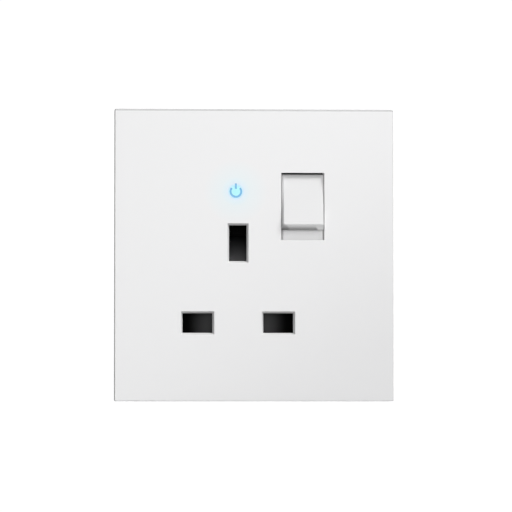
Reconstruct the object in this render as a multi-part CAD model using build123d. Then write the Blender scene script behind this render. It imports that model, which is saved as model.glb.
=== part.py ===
from build123d import *
import math
import os

# A single switched wall socket with a screwless clip-on front plate.
# Millimetres, +Z up, the front faces -Y.
# The origin is the plate's centre on the wall plane (y = 0).

# Front plate
PLATE_WIDTH = 86.0
PLATE_HEIGHT = 90.0
PLATE_DEPTH = 8.5
PLATE_FACE = 2.0
PLATE_WALL = 1.8
PLATE_CORNER = 0.5
PLATE_EDGE_ROUND = 0.3
PLATE_WALL_GAP = 0.3
BEVEL_WIDTH = 0.55
BEVEL_DEPTH = 1.2
SEAT_GAP = 0.3

# Depths of the layers, from the front to the back
PLATE_FRONT = -PLATE_DEPTH
PLATE_BACK = PLATE_FRONT + PLATE_FACE
BLOCK_FRONT = PLATE_BACK + SEAT_GAP
BLOCK_WALL = 1.6
BLOCK_INNER = BLOCK_FRONT + BLOCK_WALL

# Support frame with the front of the mechanism block
FLANGE_THICKNESS = 2.5
FLANGE_GAP = 0.6
FLANGE_CORNER = 3.0
BLOCK_HALF_WIDTH = 25.6
BLOCK_TOP = 29.5
BLOCK_BOTTOM = -34.5
PARTING_Y = 0.4

# Back housing in the wall box
HOUSING_DEPTH = 17.6
HOUSING_WALL = 1.6
HOUSING_CORNER = 2.0
HOUSING_BACK = HOUSING_DEPTH - HOUSING_WALL
PARTITION_FRONT = 2.6
PARTITION_THICKNESS = 1.6
PARTITION_BACK = PARTITION_FRONT + PARTITION_THICKNESS
PARTITION_TOP = 7.4
EARTH_WALL_TOP = 11.0
EARTH_WALL_RIGHT = 4.0

# Clips that hold the plate on the frame
CLIP_WIDTH = 7.0
CLIP_HEIGHT_PITCH = 44.0
CLIP_CATCH = 1.0
CATCH_THICKNESS = 1.2
REST_POST = 3.0

# The standard pins that the socket takes
PIN_PITCH = 22.23
PIN_LINE_Z = -20.0
SOCKET_X = -5.0
LINE_PIN_WIDTH = 6.35
LINE_PIN_HEIGHT = 4.0
EARTH_PIN_WIDTH = 4.0
EARTH_PIN_HEIGHT = 8.0
PIN_CLEARANCE = 0.3
OPENING_CLEARANCE = 0.1
EARTH_PIN_Z = PIN_LINE_Z + PIN_PITCH

# Openings in the plate, which reach further out than the pins
LINE_OPENING_OUTER = 17.05
LINE_OPENING_BOTTOM = -23.95
EARTH_OPENING_WIDTH = 5.4
EARTH_OPENING_TOP = 9.2
BLOCK_OPENING_MARGIN = 0.1

# Shutter
SHUTTER_GAP = 0.3
SHUTTER_THICKNESS = 3.6
BLADE_SLOPE = 2.4
BLADE_TOP = -16.0
BLADE_BOTTOM = -24.35
BLADE_OUTER = 18.4
WEB_HALF_WIDTH = 7.5
COLUMN_HALF_WIDTH = 4.6
COLUMN_BOTTOM = -12.4
RAMP_DEPTH = 6.6
RAMP_HEIGHT = 8.5
GUIDE_THICKNESS = 1.2

# Shutter spring
SPRING_SLOT_HALF = 2.1
SPRING_RADIUS = 1.2
SPRING_WIRE = 0.2
SPRING_TURNS = 8
SPRING_POST_TOP = -25.2
SPRING_POST_HEIGHT = 1.6
SPRING_PEG_RADIUS = 0.7
SPRING_PEG_LENGTH = 1.2

# Rocker of the switch
ROCKER_X = 15.02
ROCKER_Z = 15.02
ROCKER_LEFT = 8.62
ROCKER_RIGHT = 21.36
OPENING_LEFT = 8.37
OPENING_RIGHT = 21.66
OPENING_TOP = 25.4
OPENING_BOTTOM = 4.64
ROCKER_TOP = 25.05
ROCKER_BOTTOM = 4.2
ROCKER_TRAVEL = 10.0
RIDGE_Z = 9.43
STEP_Z = 7.8
RIDGE_PROUD = 1.4
TOP_RECESS = 1.3
LEFT_CHAMFER = 0.5
RIGHT_CHAMFER = 0.2
SKIRT_GAP = 0.25
ROCKER_TOP_ROUND = 1.6
ROCKER_THICKNESS = 3.6
RIDGE_ROUND = 0.3
LEDGE_SLANT = 1.25
LEDGE_ROUND = 0.6
AXLE_Y = -4.9
AXLE_RADIUS = 1.25
AXLE_FIT = 0.07
AXLE_LENGTH = 1.2
WELL_GAP = 0.3
WELL_WALL = 1.4
WELL_TOP_GAP = 1.2
WELL_BOTTOM_GAP = 0.4
CHEEK_THICKNESS = 1.5
CHEEK_RADIUS = 2.4

# Plunger, its guide in the rocker, and its spring
STEM_RADIUS = 3.1
STEM_LENGTH = 7.4
PLUNGER_RADIUS = 2.0
PLUNGER_FIT = 0.08
PLUNGER_REACH = 11.8
PLUNGER_LENGTH = 6.0
PLUNGER_TIP = 1.2
PLUNGER_BORE_START = 1.2
PLUNGER_SPRING_RADIUS = 1.4
PLUNGER_SPRING_WIRE = 0.25
PLUNGER_SPRING_TURNS = 5

# See-saw contact of the switch
SEESAW_Y = 7.5
SEESAW_TILT = 7.0
SEESAW_HALF_LENGTH = 9.0
SEESAW_WIDTH = 5.6
SEESAW_THICKNESS = 1.0
SEESAW_PIVOT_RADIUS = 0.9
TIP_REACH = 8.0
TIP_RADIUS = 1.6
TIP_THICKNESS = 1.0
FIXED_TIP_THICKNESS = 1.2
SADDLE_WIDTH = 8.0
SADDLE_HEIGHT = 5.0

# Brass strips and socket contacts
STRIP = 0.8
STRIP_Y = 11.6
LEAF_GRIP = 0.2
LEAF_FRONT = PARTITION_BACK + 0.4
LINE_LEAF_WIDTH = 5.6
LINE_BASE_Y = 10.4
EARTH_LEAF_HEIGHT = 7.0
EARTH_BASE_GAP = 0.5
LIVE_TAIL_HALF = 2.4
FIXED_STRIP_LEFT = 14.8
FIXED_STRIP_RIGHT = 17.6
FIXED_PAD_LEFT = 12.6
FIXED_PAD_BOTTOM = 4.6
FIXED_PAD_TOP = 9.6

# Terminals
TERMINAL_WIDTH = 7.0
TERMINAL_HEIGHT = 7.0
TERMINAL_STANDOFF = 2.4
TERMINAL_END_GAP = 0.3
WIRE_RADIUS = 2.3
WIRE_WALL = 0.8
WIRE_ENTRY_RADIUS = 2.8
CLAMP_RADIUS = 1.95
CLAMP_FIT = 0.05
CLAMP_ACCESS_RADIUS = 2.4
CLAMP_TIP_GAP = 0.3
CLAMP_END_RECESS = 0.5
CLAMP_SLOT = 0.7
LIVE_TERMINAL_X = 18.4
EARTH_LEFT_X = -14.2
TERMINAL_RIB = 1.0

# Screws
BOX_SCREW_PITCH = 60.3
BOX_SCREW_RADIUS = 1.75
BOX_SCREW_LENGTH = 25.0
BOX_HEAD_RADIUS = 3.3
BOX_HEAD_HEIGHT = 2.1
BOX_SCREW_CLEARANCE = 0.55
BOX_NECK_RADIUS = 1.5
BOX_NECK_END = -0.05
LEVELLING_SLOT = 8.4
HOUSING_SCREWS = [(-21.2, 25.6), (-21.2, -8.5), (21.2, -8.5), (3.2, 25.6)]
HOUSING_SCREW_RADIUS = 1.25
HOUSING_HEAD_RADIUS = 2.2
HOUSING_HEAD_HEIGHT = 1.6
HOUSING_SCREW_FIT = 0.1
BOSS_RADIUS = 2.9
HEAD_CLEARANCE = 0.2

# Power symbol, its light guide and the indicator behind it
SYMBOL_X = -5.67
SYMBOL_Z = 19.56
SYMBOL_RADIUS = 1.64
SYMBOL_STROKE = 0.6
SYMBOL_GAP_ANGLE = 50.0
SYMBOL_BAR_BOTTOM = 0.8
SYMBOL_BAR_TOP = 2.5
SYMBOL_FIT = 0.03
GUIDE_RADIUS = 3.2
GUIDE_FLANGE = 1.2
PIPE_RADIUS = 2.0
PIPE_LENGTH = 2.6
LAMP_RADIUS = 1.5
LAMP_HEIGHT = 1.6
LAMP_FLANGE = 0.3
BOARD_THICKNESS = 1.0
BOARD_LEFT = -12.4
BOARD_RIGHT = 1.0
BOARD_BOTTOM = 14.6
BOARD_TOP = 22.4
BOARD_POST = 1.6
RESISTOR_RADIUS = 0.9
RESISTOR_LENGTH = 4.4
DIODE_RADIUS = 0.8
DIODE_LENGTH = 3.4
LEG_RADIUS = 0.25
LEG_RUN = 1.0
LEAD_RADIUS = 0.6
LEAD_BEND = 1.6

BOX_SCREW_X = BOX_SCREW_PITCH / 2
LIVE_X = SOCKET_X + PIN_PITCH / 2
NEUTRAL_X = SOCKET_X - PIN_PITCH / 2
SHUTTER_FRONT = BLOCK_INNER + SHUTTER_GAP
SHUTTER_BACK = SHUTTER_FRONT + SHUTTER_THICKNESS
CAVITY_HALF_WIDTH = PLATE_WIDTH / 2 - PLATE_WALL
CAVITY_HALF_HEIGHT = PLATE_HEIGHT / 2 - PLATE_WALL
FLANGE_HALF_WIDTH = CAVITY_HALF_WIDTH - FLANGE_GAP
FLANGE_HALF_HEIGHT = CAVITY_HALF_HEIGHT - FLANGE_GAP
HOUSING_HALF_WIDTH = BLOCK_HALF_WIDTH - SEAT_GAP
EARTH_BASE_Y = HOUSING_BACK - STRIP - EARTH_BASE_GAP
TERMINAL_FRONT = PARTITION_BACK + TERMINAL_STANDOFF
TERMINAL_BACK = HOUSING_BACK - SEAT_GAP
WIRE_Y = TERMINAL_FRONT + WIRE_WALL + WIRE_RADIUS
CUT = 1.0


def block(x0, x1, y0, y1, z0, z1):
    """A box between two limits on each axis."""
    centre = Pos((x0 + x1) / 2, (y0 + y1) / 2, (z0 + z1) / 2)
    return centre * Box(x1 - x0, y1 - y0, z1 - z0)


def slab(x0, x1, y0, y1, z0, z1, radius):
    """A box whose four edges along Y are round."""
    return fillet(block(x0, x1, y0, y1, z0, z1).edges().filter_by(Axis.Y), radius)


def rod_x(y, z, radius, x0, x1):
    return Pos((x0 + x1) / 2, y, z) * Rot(0, 90, 0) * Cylinder(radius, x1 - x0)


def rod_y(x, z, radius, y0, y1):
    return Pos(x, (y0 + y1) / 2, z) * Rot(90, 0, 0) * Cylinder(radius, y1 - y0)


def rod_z(x, y, radius, z0, z1):
    return Pos(x, y, (z0 + z1) / 2) * Cylinder(radius, z1 - z0)


def profile_along_x(points, x0, x1):
    """A solid whose outline is given as (y, z) points, between two x."""
    outline = Plane.YZ.offset(x0) * make_face(Polyline(*points, close=True))
    return extrude(outline, x1 - x0)


def profile_along_z(points, z0, z1):
    """A solid whose outline is given as (x, y) points, between two z."""
    outline = Plane.XY.offset(z0) * make_face(Polyline(*points, close=True))
    return extrude(outline, z1 - z0)


def coil(radius, wire, turns, length):
    """A compression spring along +Z from the origin, with its outside length."""
    rise = length - 2 * wire
    helix = Pos(0, 0, wire) * Helix(rise / turns, rise, radius)
    section = Plane(origin=helix @ 0, z_dir=helix % 0) * Circle(wire)
    return sweep(section, path=helix)


def bevelled_opening(x0, x1, z0, z1):
    """A cutter for a hole through the plate's face, with a bevel at the front."""
    hole = block(x0, x1, PLATE_FRONT - CUT, PLATE_BACK + CUT, z0, z1)
    rim = Plane.XZ.offset(-PLATE_FRONT)
    centre = Pos((x0 + x1) / 2, (z0 + z1) / 2)
    wide = centre * Rectangle(x1 - x0 + 2 * BEVEL_WIDTH, z1 - z0 + 2 * BEVEL_WIDTH)
    slant = math.degrees(math.atan2(BEVEL_WIDTH, BEVEL_DEPTH))
    return hole + extrude(rim * wide, -BEVEL_DEPTH, taper=slant)


def line_opening(side, margin):
    """Limits (x0, x1, z0, z1) of a line or neutral opening, wider by a margin."""
    inner = PIN_PITCH / 2 - LINE_PIN_WIDTH / 2 - OPENING_CLEARANCE - margin
    outer = LINE_OPENING_OUTER + margin
    ends = sorted([SOCKET_X + side * inner, SOCKET_X + side * outer])
    top = PIN_LINE_Z + LINE_PIN_HEIGHT / 2 + OPENING_CLEARANCE + margin
    return ends[0], ends[1], LINE_OPENING_BOTTOM - margin, top


def earth_opening(margin):
    """Limits (x0, x1, z0, z1) of the earth opening, wider by a margin."""
    half = EARTH_OPENING_WIDTH / 2 + margin
    bottom = EARTH_PIN_Z - EARTH_PIN_HEIGHT / 2 - OPENING_CLEARANCE - margin
    return SOCKET_X - half, SOCKET_X + half, bottom, EARTH_OPENING_TOP + margin


def symbol(fit, y0, y1):
    """The power symbol as a solid: an open ring and a bar, shrunk by a fit."""
    half_stroke = SYMBOL_STROKE / 2 - fit
    ring = rod_y(0, 0, SYMBOL_RADIUS + half_stroke, y0, y1)
    ring -= rod_y(0, 0, SYMBOL_RADIUS - half_stroke, y0 - CUT, y1 + CUT)
    reach = 3 * SYMBOL_RADIUS
    spread = reach * math.tan(math.radians(SYMBOL_GAP_ANGLE + math.degrees(fit / SYMBOL_RADIUS)))
    wedge_face = make_face(Polyline((0, 0), (spread, reach), (-spread, reach), close=True))
    wedge = extrude(Plane.XZ.offset(-y0 + CUT) * wedge_face, -(y1 - y0 + 2 * CUT))
    bar = block(-half_stroke, half_stroke, y0, y1, SYMBOL_BAR_BOTTOM + fit, SYMBOL_BAR_TOP - fit)
    mark = (ring - wedge) + bar
    return Pos(SYMBOL_X, 0, SYMBOL_Z) * mark


def one_solid(shape):
    """The shape with its faces merged, as a single solid."""
    return Part() + shape.clean()


def front_plate():
    half_w = PLATE_WIDTH / 2
    half_h = PLATE_HEIGHT / 2
    shell = slab(-half_w, half_w, PLATE_FRONT, -PLATE_WALL_GAP, -half_h, half_h, PLATE_CORNER)
    shell = fillet(shell.faces().sort_by(Axis.Y)[0].edges(), PLATE_EDGE_ROUND)
    shell -= block(-CAVITY_HALF_WIDTH, CAVITY_HALF_WIDTH, PLATE_BACK, CUT, -CAVITY_HALF_HEIGHT,
                   CAVITY_HALF_HEIGHT)
    for side in (-1, 1):
        shell -= bevelled_opening(*line_opening(side, 0))
    shell -= bevelled_opening(*earth_opening(0))
    shell -= block(OPENING_LEFT, OPENING_RIGHT, PLATE_FRONT - CUT, PLATE_BACK + CUT,
                   OPENING_BOTTOM, OPENING_TOP)
    shell -= symbol(0, PLATE_FRONT - CUT, PLATE_BACK + CUT)
    for side in (-1, 1):
        for level in (-1, 1):
            shell += plate_clip(side, level)
            shell += rest_post(side, level)
    return one_solid(shell)


def plate_clip(side, level):
    """A hook on the side wall that snaps behind the frame's edge."""
    z = level * CLIP_HEIGHT_PITCH / 2
    wall = side * (CAVITY_HALF_WIDTH + PLATE_WALL / 2)
    tip = side * (FLANGE_HALF_WIDTH - CLIP_CATCH)
    front = -FLANGE_THICKNESS + CATCH_THICKNESS + SEAT_GAP
    hook = [(wall, front), (tip, front), (wall, -PLATE_WALL_GAP)]
    return profile_along_z(hook, z - CLIP_WIDTH / 2, z + CLIP_WIDTH / 2)


def rest_post(side, level):
    """A post behind the face that stands on the frame's flange."""
    x = side * (FLANGE_HALF_WIDTH - REST_POST)
    z = level * (FLANGE_HALF_HEIGHT - REST_POST)
    half = REST_POST / 2
    return block(x - half, x + half, PLATE_BACK - CUT, -FLANGE_THICKNESS, z - half, z + half)


def light_guide():
    """Clear piece: the symbol's raised strokes, a round flange and a light pipe."""
    flange_end = PLATE_BACK + GUIDE_FLANGE
    guide = rod_y(SYMBOL_X, SYMBOL_Z, GUIDE_RADIUS, PLATE_BACK, flange_end)
    guide += rod_y(SYMBOL_X, SYMBOL_Z, PIPE_RADIUS, flange_end - CUT, flange_end + PIPE_LENGTH)
    guide += symbol(SYMBOL_FIT, PLATE_FRONT, PLATE_BACK + CUT)
    return one_solid(guide)


def support_frame():
    frame = slab(-FLANGE_HALF_WIDTH, FLANGE_HALF_WIDTH, -FLANGE_THICKNESS, 0,
                 -FLANGE_HALF_HEIGHT, FLANGE_HALF_HEIGHT, FLANGE_CORNER)
    frame += slab(-BLOCK_HALF_WIDTH, BLOCK_HALF_WIDTH, BLOCK_FRONT, PARTING_Y,
                  BLOCK_BOTTOM, BLOCK_TOP, HOUSING_CORNER)
    frame -= block(-BLOCK_HALF_WIDTH + BLOCK_WALL, BLOCK_HALF_WIDTH - BLOCK_WALL, BLOCK_INNER, CUT,
                   BLOCK_BOTTOM + BLOCK_WALL, BLOCK_TOP - BLOCK_WALL)
    frame += rocker_well()
    for x, z in HOUSING_SCREWS:
        frame += rod_y(x, z, BOSS_RADIUS, BLOCK_INNER - CUT / 2, PARTING_Y)
    frame += shutter_guides()
    frame += spring_post()
    frame += board_posts()
    for side in (-1, 1):
        x0, x1, z0, z1 = line_opening(side, BLOCK_OPENING_MARGIN)
        frame -= block(x0, x1, BLOCK_FRONT - CUT, BLOCK_INNER + CUT / 4, z0, z1)
    x0, x1, z0, z1 = earth_opening(BLOCK_OPENING_MARGIN)
    frame -= block(x0, x1, BLOCK_FRONT - CUT, BLOCK_INNER + CUT / 4, z0, z1)
    frame -= rod_y(SYMBOL_X, SYMBOL_Z, GUIDE_RADIUS + SEAT_GAP, BLOCK_FRONT - CUT, BLOCK_INNER + CUT)
    frame -= rocker_hollow()
    for x, z in HOUSING_SCREWS:
        frame -= rod_y(x, z, HOUSING_SCREW_RADIUS + HOUSING_SCREW_FIT, BLOCK_INNER, CUT)
    frame -= fixing_holes()
    for side in (-1, 1):
        for level in (-1, 1):
            frame -= catch_recess(side, level)
    return one_solid(frame)


def rocker_well():
    """The walls round the rocker, which carry its axle stubs."""
    left = ROCKER_LEFT - WELL_GAP - WELL_WALL
    right = ROCKER_RIGHT + WELL_GAP + WELL_WALL
    bottom = ROCKER_BOTTOM - WELL_BOTTOM_GAP - WELL_WALL
    top = ROCKER_TOP + WELL_TOP_GAP + WELL_WALL
    return block(left, right, BLOCK_FRONT, 0, bottom, top)


def rocker_hollow():
    """The room inside the well, and the two holes for the axle stubs."""
    left = ROCKER_LEFT - WELL_GAP
    right = ROCKER_RIGHT + WELL_GAP
    bottom = ROCKER_BOTTOM - WELL_BOTTOM_GAP
    top = ROCKER_TOP + WELL_TOP_GAP
    hollow = block(left, right, BLOCK_FRONT - CUT, CUT, bottom, top)
    hole = AXLE_RADIUS + AXLE_FIT
    hollow += rod_x(AXLE_Y, ROCKER_Z, hole, left - WELL_WALL - CUT / 4, right + WELL_WALL + CUT / 4)
    return hollow


def shutter_guides():
    """Two ribs that guide the shutter's column; their lower ends are its top stop."""
    guides = Part()
    near = COLUMN_HALF_WIDTH + SHUTTER_GAP
    top = EARTH_OPENING_TOP - BLOCK_WALL
    for side in (-1, 1):
        ends = sorted([SOCKET_X + side * near, SOCKET_X + side * (near + GUIDE_THICKNESS)])
        guides += block(ends[0], ends[1], BLOCK_INNER - CUT / 2, SHUTTER_BACK,
                        COLUMN_BOTTOM + SHUTTER_GAP, top)
    return guides


def spring_post():
    """The post under the shutter's spring, with a peg that centres the coil."""
    half = SPRING_SLOT_HALF - SHUTTER_GAP
    y = (SHUTTER_FRONT + SHUTTER_BACK) / 2
    post = block(SOCKET_X - half, SOCKET_X + half, BLOCK_INNER - CUT / 2, SHUTTER_BACK,
                 SPRING_POST_TOP - SPRING_POST_HEIGHT, SPRING_POST_TOP)
    post += rod_z(SOCKET_X, y, SPRING_PEG_RADIUS, SPRING_POST_TOP - CUT / 2,
                  SPRING_POST_TOP + SPRING_PEG_LENGTH)
    return post


def board_front():
    """Front face of the indicator's circuit board."""
    return PLATE_BACK + GUIDE_FLANGE + PIPE_LENGTH + SEAT_GAP + LAMP_HEIGHT


def board_posts():
    """Four posts that the circuit board stands on."""
    posts = Part()
    for x in (BOARD_LEFT, BOARD_RIGHT - BOARD_POST):
        for z in (BOARD_BOTTOM, BOARD_TOP - BOARD_POST):
            posts += block(x, x + BOARD_POST, BLOCK_INNER - CUT / 2, board_front(), z, z + BOARD_POST)
    return posts


def fixing_holes():
    """A round hole on the right and an upright levelling slot on the left."""
    radius = BOX_SCREW_RADIUS + BOX_SCREW_CLEARANCE
    holes = rod_y(BOX_SCREW_X, 0, radius, -FLANGE_THICKNESS - CUT, CUT)
    straight = LEVELLING_SLOT / 2 - radius
    for end in (-1, 1):
        holes += rod_y(-BOX_SCREW_X, end * straight, radius, -FLANGE_THICKNESS - CUT, CUT)
    holes += block(-BOX_SCREW_X - radius, -BOX_SCREW_X + radius, -FLANGE_THICKNESS - CUT, CUT,
                   -straight, straight)
    return holes


def catch_recess(side, level):
    """The step behind the flange's edge that a plate clip snaps into."""
    z = level * CLIP_HEIGHT_PITCH / 2
    half = CLIP_WIDTH / 2 + SEAT_GAP
    ends = sorted([side * (FLANGE_HALF_WIDTH - CLIP_CATCH - 2 * SEAT_GAP),
                   side * (FLANGE_HALF_WIDTH + CUT)])
    return block(ends[0], ends[1], -FLANGE_THICKNESS + CATCH_THICKNESS, CUT, z - half, z + half)


def box_screws():
    """The two machine screws that fix the frame to the wall box, each with a thinner neck."""
    pair = []
    for side in (-1, 1):
        x = side * BOX_SCREW_X
        head_front = -FLANGE_THICKNESS - BOX_HEAD_HEIGHT
        screw = rod_y(x, 0, BOX_HEAD_RADIUS, head_front, -FLANGE_THICKNESS)
        screw = fillet(screw.faces().sort_by(Axis.Y)[0].edges(), BOX_HEAD_HEIGHT / 3)
        screw += rod_y(x, 0, BOX_NECK_RADIUS, -FLANGE_THICKNESS - CUT, BOX_NECK_END + CUT)
        screw += rod_y(x, 0, BOX_SCREW_RADIUS, BOX_NECK_END, BOX_SCREW_LENGTH - FLANGE_THICKNESS)
        slot = block(x - BOX_HEAD_RADIUS, x + BOX_HEAD_RADIUS, head_front - CUT, head_front + CUT,
                     -CLAMP_SLOT / 2, CLAMP_SLOT / 2)
        pair.append(one_solid(screw - slot))
    return Compound(children=[part.solid() for part in pair])


def shutter():
    """The black slider: two blades, a slotted web and a column with the ramp."""
    body = Part()
    for side in (-1, 1):
        near = SOCKET_X + side * (WEB_HALF_WIDTH - CUT)
        far = SOCKET_X + side * BLADE_OUTER
        outline = [(near, SHUTTER_FRONT), (far, SHUTTER_FRONT + BLADE_SLOPE),
                   (far, SHUTTER_BACK), (near, SHUTTER_BACK)]
        body += profile_along_z(outline, BLADE_BOTTOM, BLADE_TOP)
    body += block(SOCKET_X - WEB_HALF_WIDTH, SOCKET_X + WEB_HALF_WIDTH, SHUTTER_FRONT, SHUTTER_BACK,
                  BLADE_BOTTOM, COLUMN_BOTTOM)
    foot = EARTH_PIN_Z - EARTH_PIN_HEIGHT / 2 - PIN_CLEARANCE
    ramp_back = SHUTTER_FRONT + RAMP_DEPTH
    heel = foot + RAMP_HEIGHT / 5
    column = [(SHUTTER_FRONT, COLUMN_BOTTOM - CUT), (SHUTTER_FRONT, foot),
              (ramp_back, foot + RAMP_HEIGHT), (ramp_back, heel),
              (SHUTTER_BACK, heel - (ramp_back - SHUTTER_BACK)), (SHUTTER_BACK, COLUMN_BOTTOM - CUT)]
    body += profile_along_x(column, SOCKET_X - COLUMN_HALF_WIDTH, SOCKET_X + COLUMN_HALF_WIDTH)
    slot_top = COLUMN_BOTTOM
    body -= block(SOCKET_X - SPRING_SLOT_HALF, SOCKET_X + SPRING_SLOT_HALF, SHUTTER_FRONT - CUT,
                  SHUTTER_BACK + CUT, BLADE_BOTTOM - CUT, slot_top)
    y = (SHUTTER_FRONT + SHUTTER_BACK) / 2
    body += rod_z(SOCKET_X, y, SPRING_PEG_RADIUS, slot_top - SPRING_PEG_LENGTH, slot_top + CUT / 2)
    return one_solid(body)


def shutter_spring():
    y = (SHUTTER_FRONT + SHUTTER_BACK) / 2
    gap = SPRING_WIRE / 4
    length = COLUMN_BOTTOM - SPRING_POST_TOP - 2 * gap
    spring = coil(SPRING_RADIUS, SPRING_WIRE, SPRING_TURNS, length)
    return Pos(SOCKET_X, y, SPRING_POST_TOP + gap) * spring


def tilted(shape, y, z, angle):
    """The shape turned about the X line through (y, z); it is drawn at the origin."""
    return Pos(0, y, z) * Rot(angle, 0, 0) * shape


def side_chamfer(x, width):
    """A cutter that slants the key's front edges at x, by a width that points inwards."""
    depth = abs(width)
    corner = [(x - width, -depth), (x + 2 * width, -depth), (x - width, 2 * depth)]
    lean = math.degrees(math.atan2(TOP_RECESS + RIDGE_PROUD, ROCKER_TOP - RIDGE_Z))
    face = profile_along_z(corner, -RIDGE_ROUND, 2 * (ROCKER_TOP - RIDGE_Z))
    foot = profile_along_z(corner, ROCKER_BOTTOM - CUT, STEP_Z)
    return (Pos(0, PLATE_FRONT - RIDGE_PROUD, RIDGE_Z) * Rot(-lean, 0, 0) * face
            + Pos(0, PLATE_BACK + SKIRT_GAP, 0) * foot)


def rocker():
    """The switch's key: a ridged face, cheeks with axle stubs and a plunger guide."""
    face_back = PLATE_FRONT + ROCKER_THICKNESS
    skirt_front = PLATE_BACK + SKIRT_GAP
    ledge_back = PLATE_FRONT - RIDGE_PROUD + LEDGE_SLANT
    outline = [
        (face_back, ROCKER_TOP),
        (PLATE_FRONT + TOP_RECESS, ROCKER_TOP),
        (PLATE_FRONT - RIDGE_PROUD, RIDGE_Z),
        (ledge_back, STEP_Z),
        (skirt_front, STEP_Z),
        (skirt_front, ROCKER_BOTTOM),
        (face_back, ROCKER_BOTTOM),
    ]
    key = profile_along_x(outline, ROCKER_LEFT, ROCKER_RIGHT)
    crest = key.edges().filter_by(Axis.X).filter_by(
        lambda e: abs(e.center().Z - ROCKER_TOP) < 0.01 and e.center().Y < PLATE_FRONT + 2 * TOP_RECESS)
    key = fillet(crest, ROCKER_TOP_ROUND)
    ridge = key.edges().filter_by(Axis.X).filter_by(lambda e: abs(e.center().Z - RIDGE_Z) < 0.01)
    key = fillet(ridge, RIDGE_ROUND)
    brow = key.edges().filter_by(Axis.X).filter_by(
        lambda e: abs(e.center().Z - STEP_Z) < 0.01 and e.center().Y < skirt_front - LEDGE_ROUND)
    key = fillet(brow, LEDGE_ROUND)
    key -= side_chamfer(ROCKER_LEFT, LEFT_CHAMFER)
    key -= side_chamfer(ROCKER_RIGHT, -RIGHT_CHAMFER)
    for x in (ROCKER_LEFT, ROCKER_RIGHT - CHEEK_THICKNESS):
        cheek = rod_x(AXLE_Y, ROCKER_Z, CHEEK_RADIUS, x, x + CHEEK_THICKNESS)
        cheek += block(x, x + CHEEK_THICKNESS, face_back - CUT, AXLE_Y,
                       ROCKER_Z - CHEEK_RADIUS, ROCKER_Z + CHEEK_RADIUS)
        key += cheek
    key += rod_x(AXLE_Y, ROCKER_Z, AXLE_RADIUS, ROCKER_LEFT - AXLE_LENGTH, ROCKER_LEFT + CUT)
    key += rod_x(AXLE_Y, ROCKER_Z, AXLE_RADIUS, ROCKER_RIGHT - CUT, ROCKER_RIGHT + AXLE_LENGTH)
    stem = rod_y(ROCKER_X, 0, STEM_RADIUS, face_back - AXLE_Y - CUT, STEM_LENGTH)
    key += tilted(stem, AXLE_Y, ROCKER_Z, -ROCKER_TRAVEL / 2)
    bore = rod_y(ROCKER_X, 0, PLUNGER_RADIUS + PLUNGER_FIT, PLUNGER_BORE_START, STEM_LENGTH + CUT)
    key -= tilted(bore, AXLE_Y, ROCKER_Z, -ROCKER_TRAVEL / 2)
    return one_solid(key)


def rocker_plunger():
    """The sprung pin in the rocker, with a round nose towards the see-saw."""
    start = PLUNGER_REACH - PLUNGER_LENGTH
    shoulder = PLUNGER_REACH - 2 * PLUNGER_TIP
    pin = rod_y(ROCKER_X, 0, PLUNGER_RADIUS, start, shoulder)
    pin += rod_y(ROCKER_X, 0, PLUNGER_TIP, shoulder - CUT, PLUNGER_REACH - PLUNGER_TIP)
    pin += Pos(ROCKER_X, PLUNGER_REACH - PLUNGER_TIP, 0) * Sphere(PLUNGER_TIP)
    return one_solid(tilted(pin, AXLE_Y, ROCKER_Z, -ROCKER_TRAVEL / 2))


def rocker_spring():
    gap = PLUNGER_SPRING_WIRE / 4
    length = PLUNGER_REACH - PLUNGER_LENGTH - PLUNGER_BORE_START - 2 * gap
    spring = coil(PLUNGER_SPRING_RADIUS, PLUNGER_SPRING_WIRE, PLUNGER_SPRING_TURNS, length)
    placed = Pos(ROCKER_X, PLUNGER_BORE_START + gap, 0) * Rot(-90, 0, 0) * spring
    return tilted(placed, AXLE_Y, ROCKER_Z, -ROCKER_TRAVEL / 2)


def moving_contact():
    """The see-saw strip with its round pivot bar."""
    half = SEESAW_WIDTH / 2
    strip = block(ROCKER_X - half, ROCKER_X + half, -SEESAW_THICKNESS / 2, SEESAW_THICKNESS / 2,
                  -SEESAW_HALF_LENGTH, SEESAW_HALF_LENGTH)
    strip += rod_x(SEESAW_THICKNESS / 2, 0, SEESAW_PIVOT_RADIUS, ROCKER_X - half, ROCKER_X + half)
    return one_solid(tilted(strip, SEESAW_Y, ROCKER_Z, SEESAW_TILT))


def moving_tip():
    """The silver tip at the see-saw's lower end."""
    tip = rod_y(ROCKER_X, -TIP_REACH + TIP_RADIUS / 2, TIP_RADIUS, SEESAW_THICKNESS / 2,
                SEESAW_THICKNESS / 2 + TIP_THICKNESS)
    return one_solid(tilted(tip, SEESAW_Y, ROCKER_Z, SEESAW_TILT))


def contact_saddle():
    """The notched block that the see-saw's pivot bar lies in."""
    half = SADDLE_WIDTH / 2
    floor = SEESAW_Y + SEESAW_THICKNESS / 2 + SEESAW_PIVOT_RADIUS + SEAT_GAP
    front = floor - SEESAW_PIVOT_RADIUS / 2
    saddle = block(ROCKER_X - half, ROCKER_X + half, front, STRIP_Y,
                   ROCKER_Z - SADDLE_HEIGHT / 2, ROCKER_Z + SADDLE_HEIGHT / 2)
    saddle -= rod_x(SEESAW_Y + SEESAW_THICKNESS / 2, ROCKER_Z, SEESAW_PIVOT_RADIUS + SEAT_GAP,
                    ROCKER_X - half - CUT, ROCKER_X + half + CUT)
    return one_solid(saddle)


def fixed_contact():
    """The strip from the live terminal up to the switch's fixed tip."""
    top_of_terminal = terminal_base(-1) + TERMINAL_HEIGHT
    strip = block(FIXED_STRIP_LEFT, FIXED_STRIP_RIGHT, STRIP_Y, STRIP_Y + STRIP,
                  top_of_terminal, FIXED_PAD_TOP)
    strip += block(FIXED_PAD_LEFT, FIXED_STRIP_RIGHT, STRIP_Y, STRIP_Y + STRIP,
                   FIXED_PAD_BOTTOM, FIXED_PAD_TOP)
    return one_solid(strip)


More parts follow.
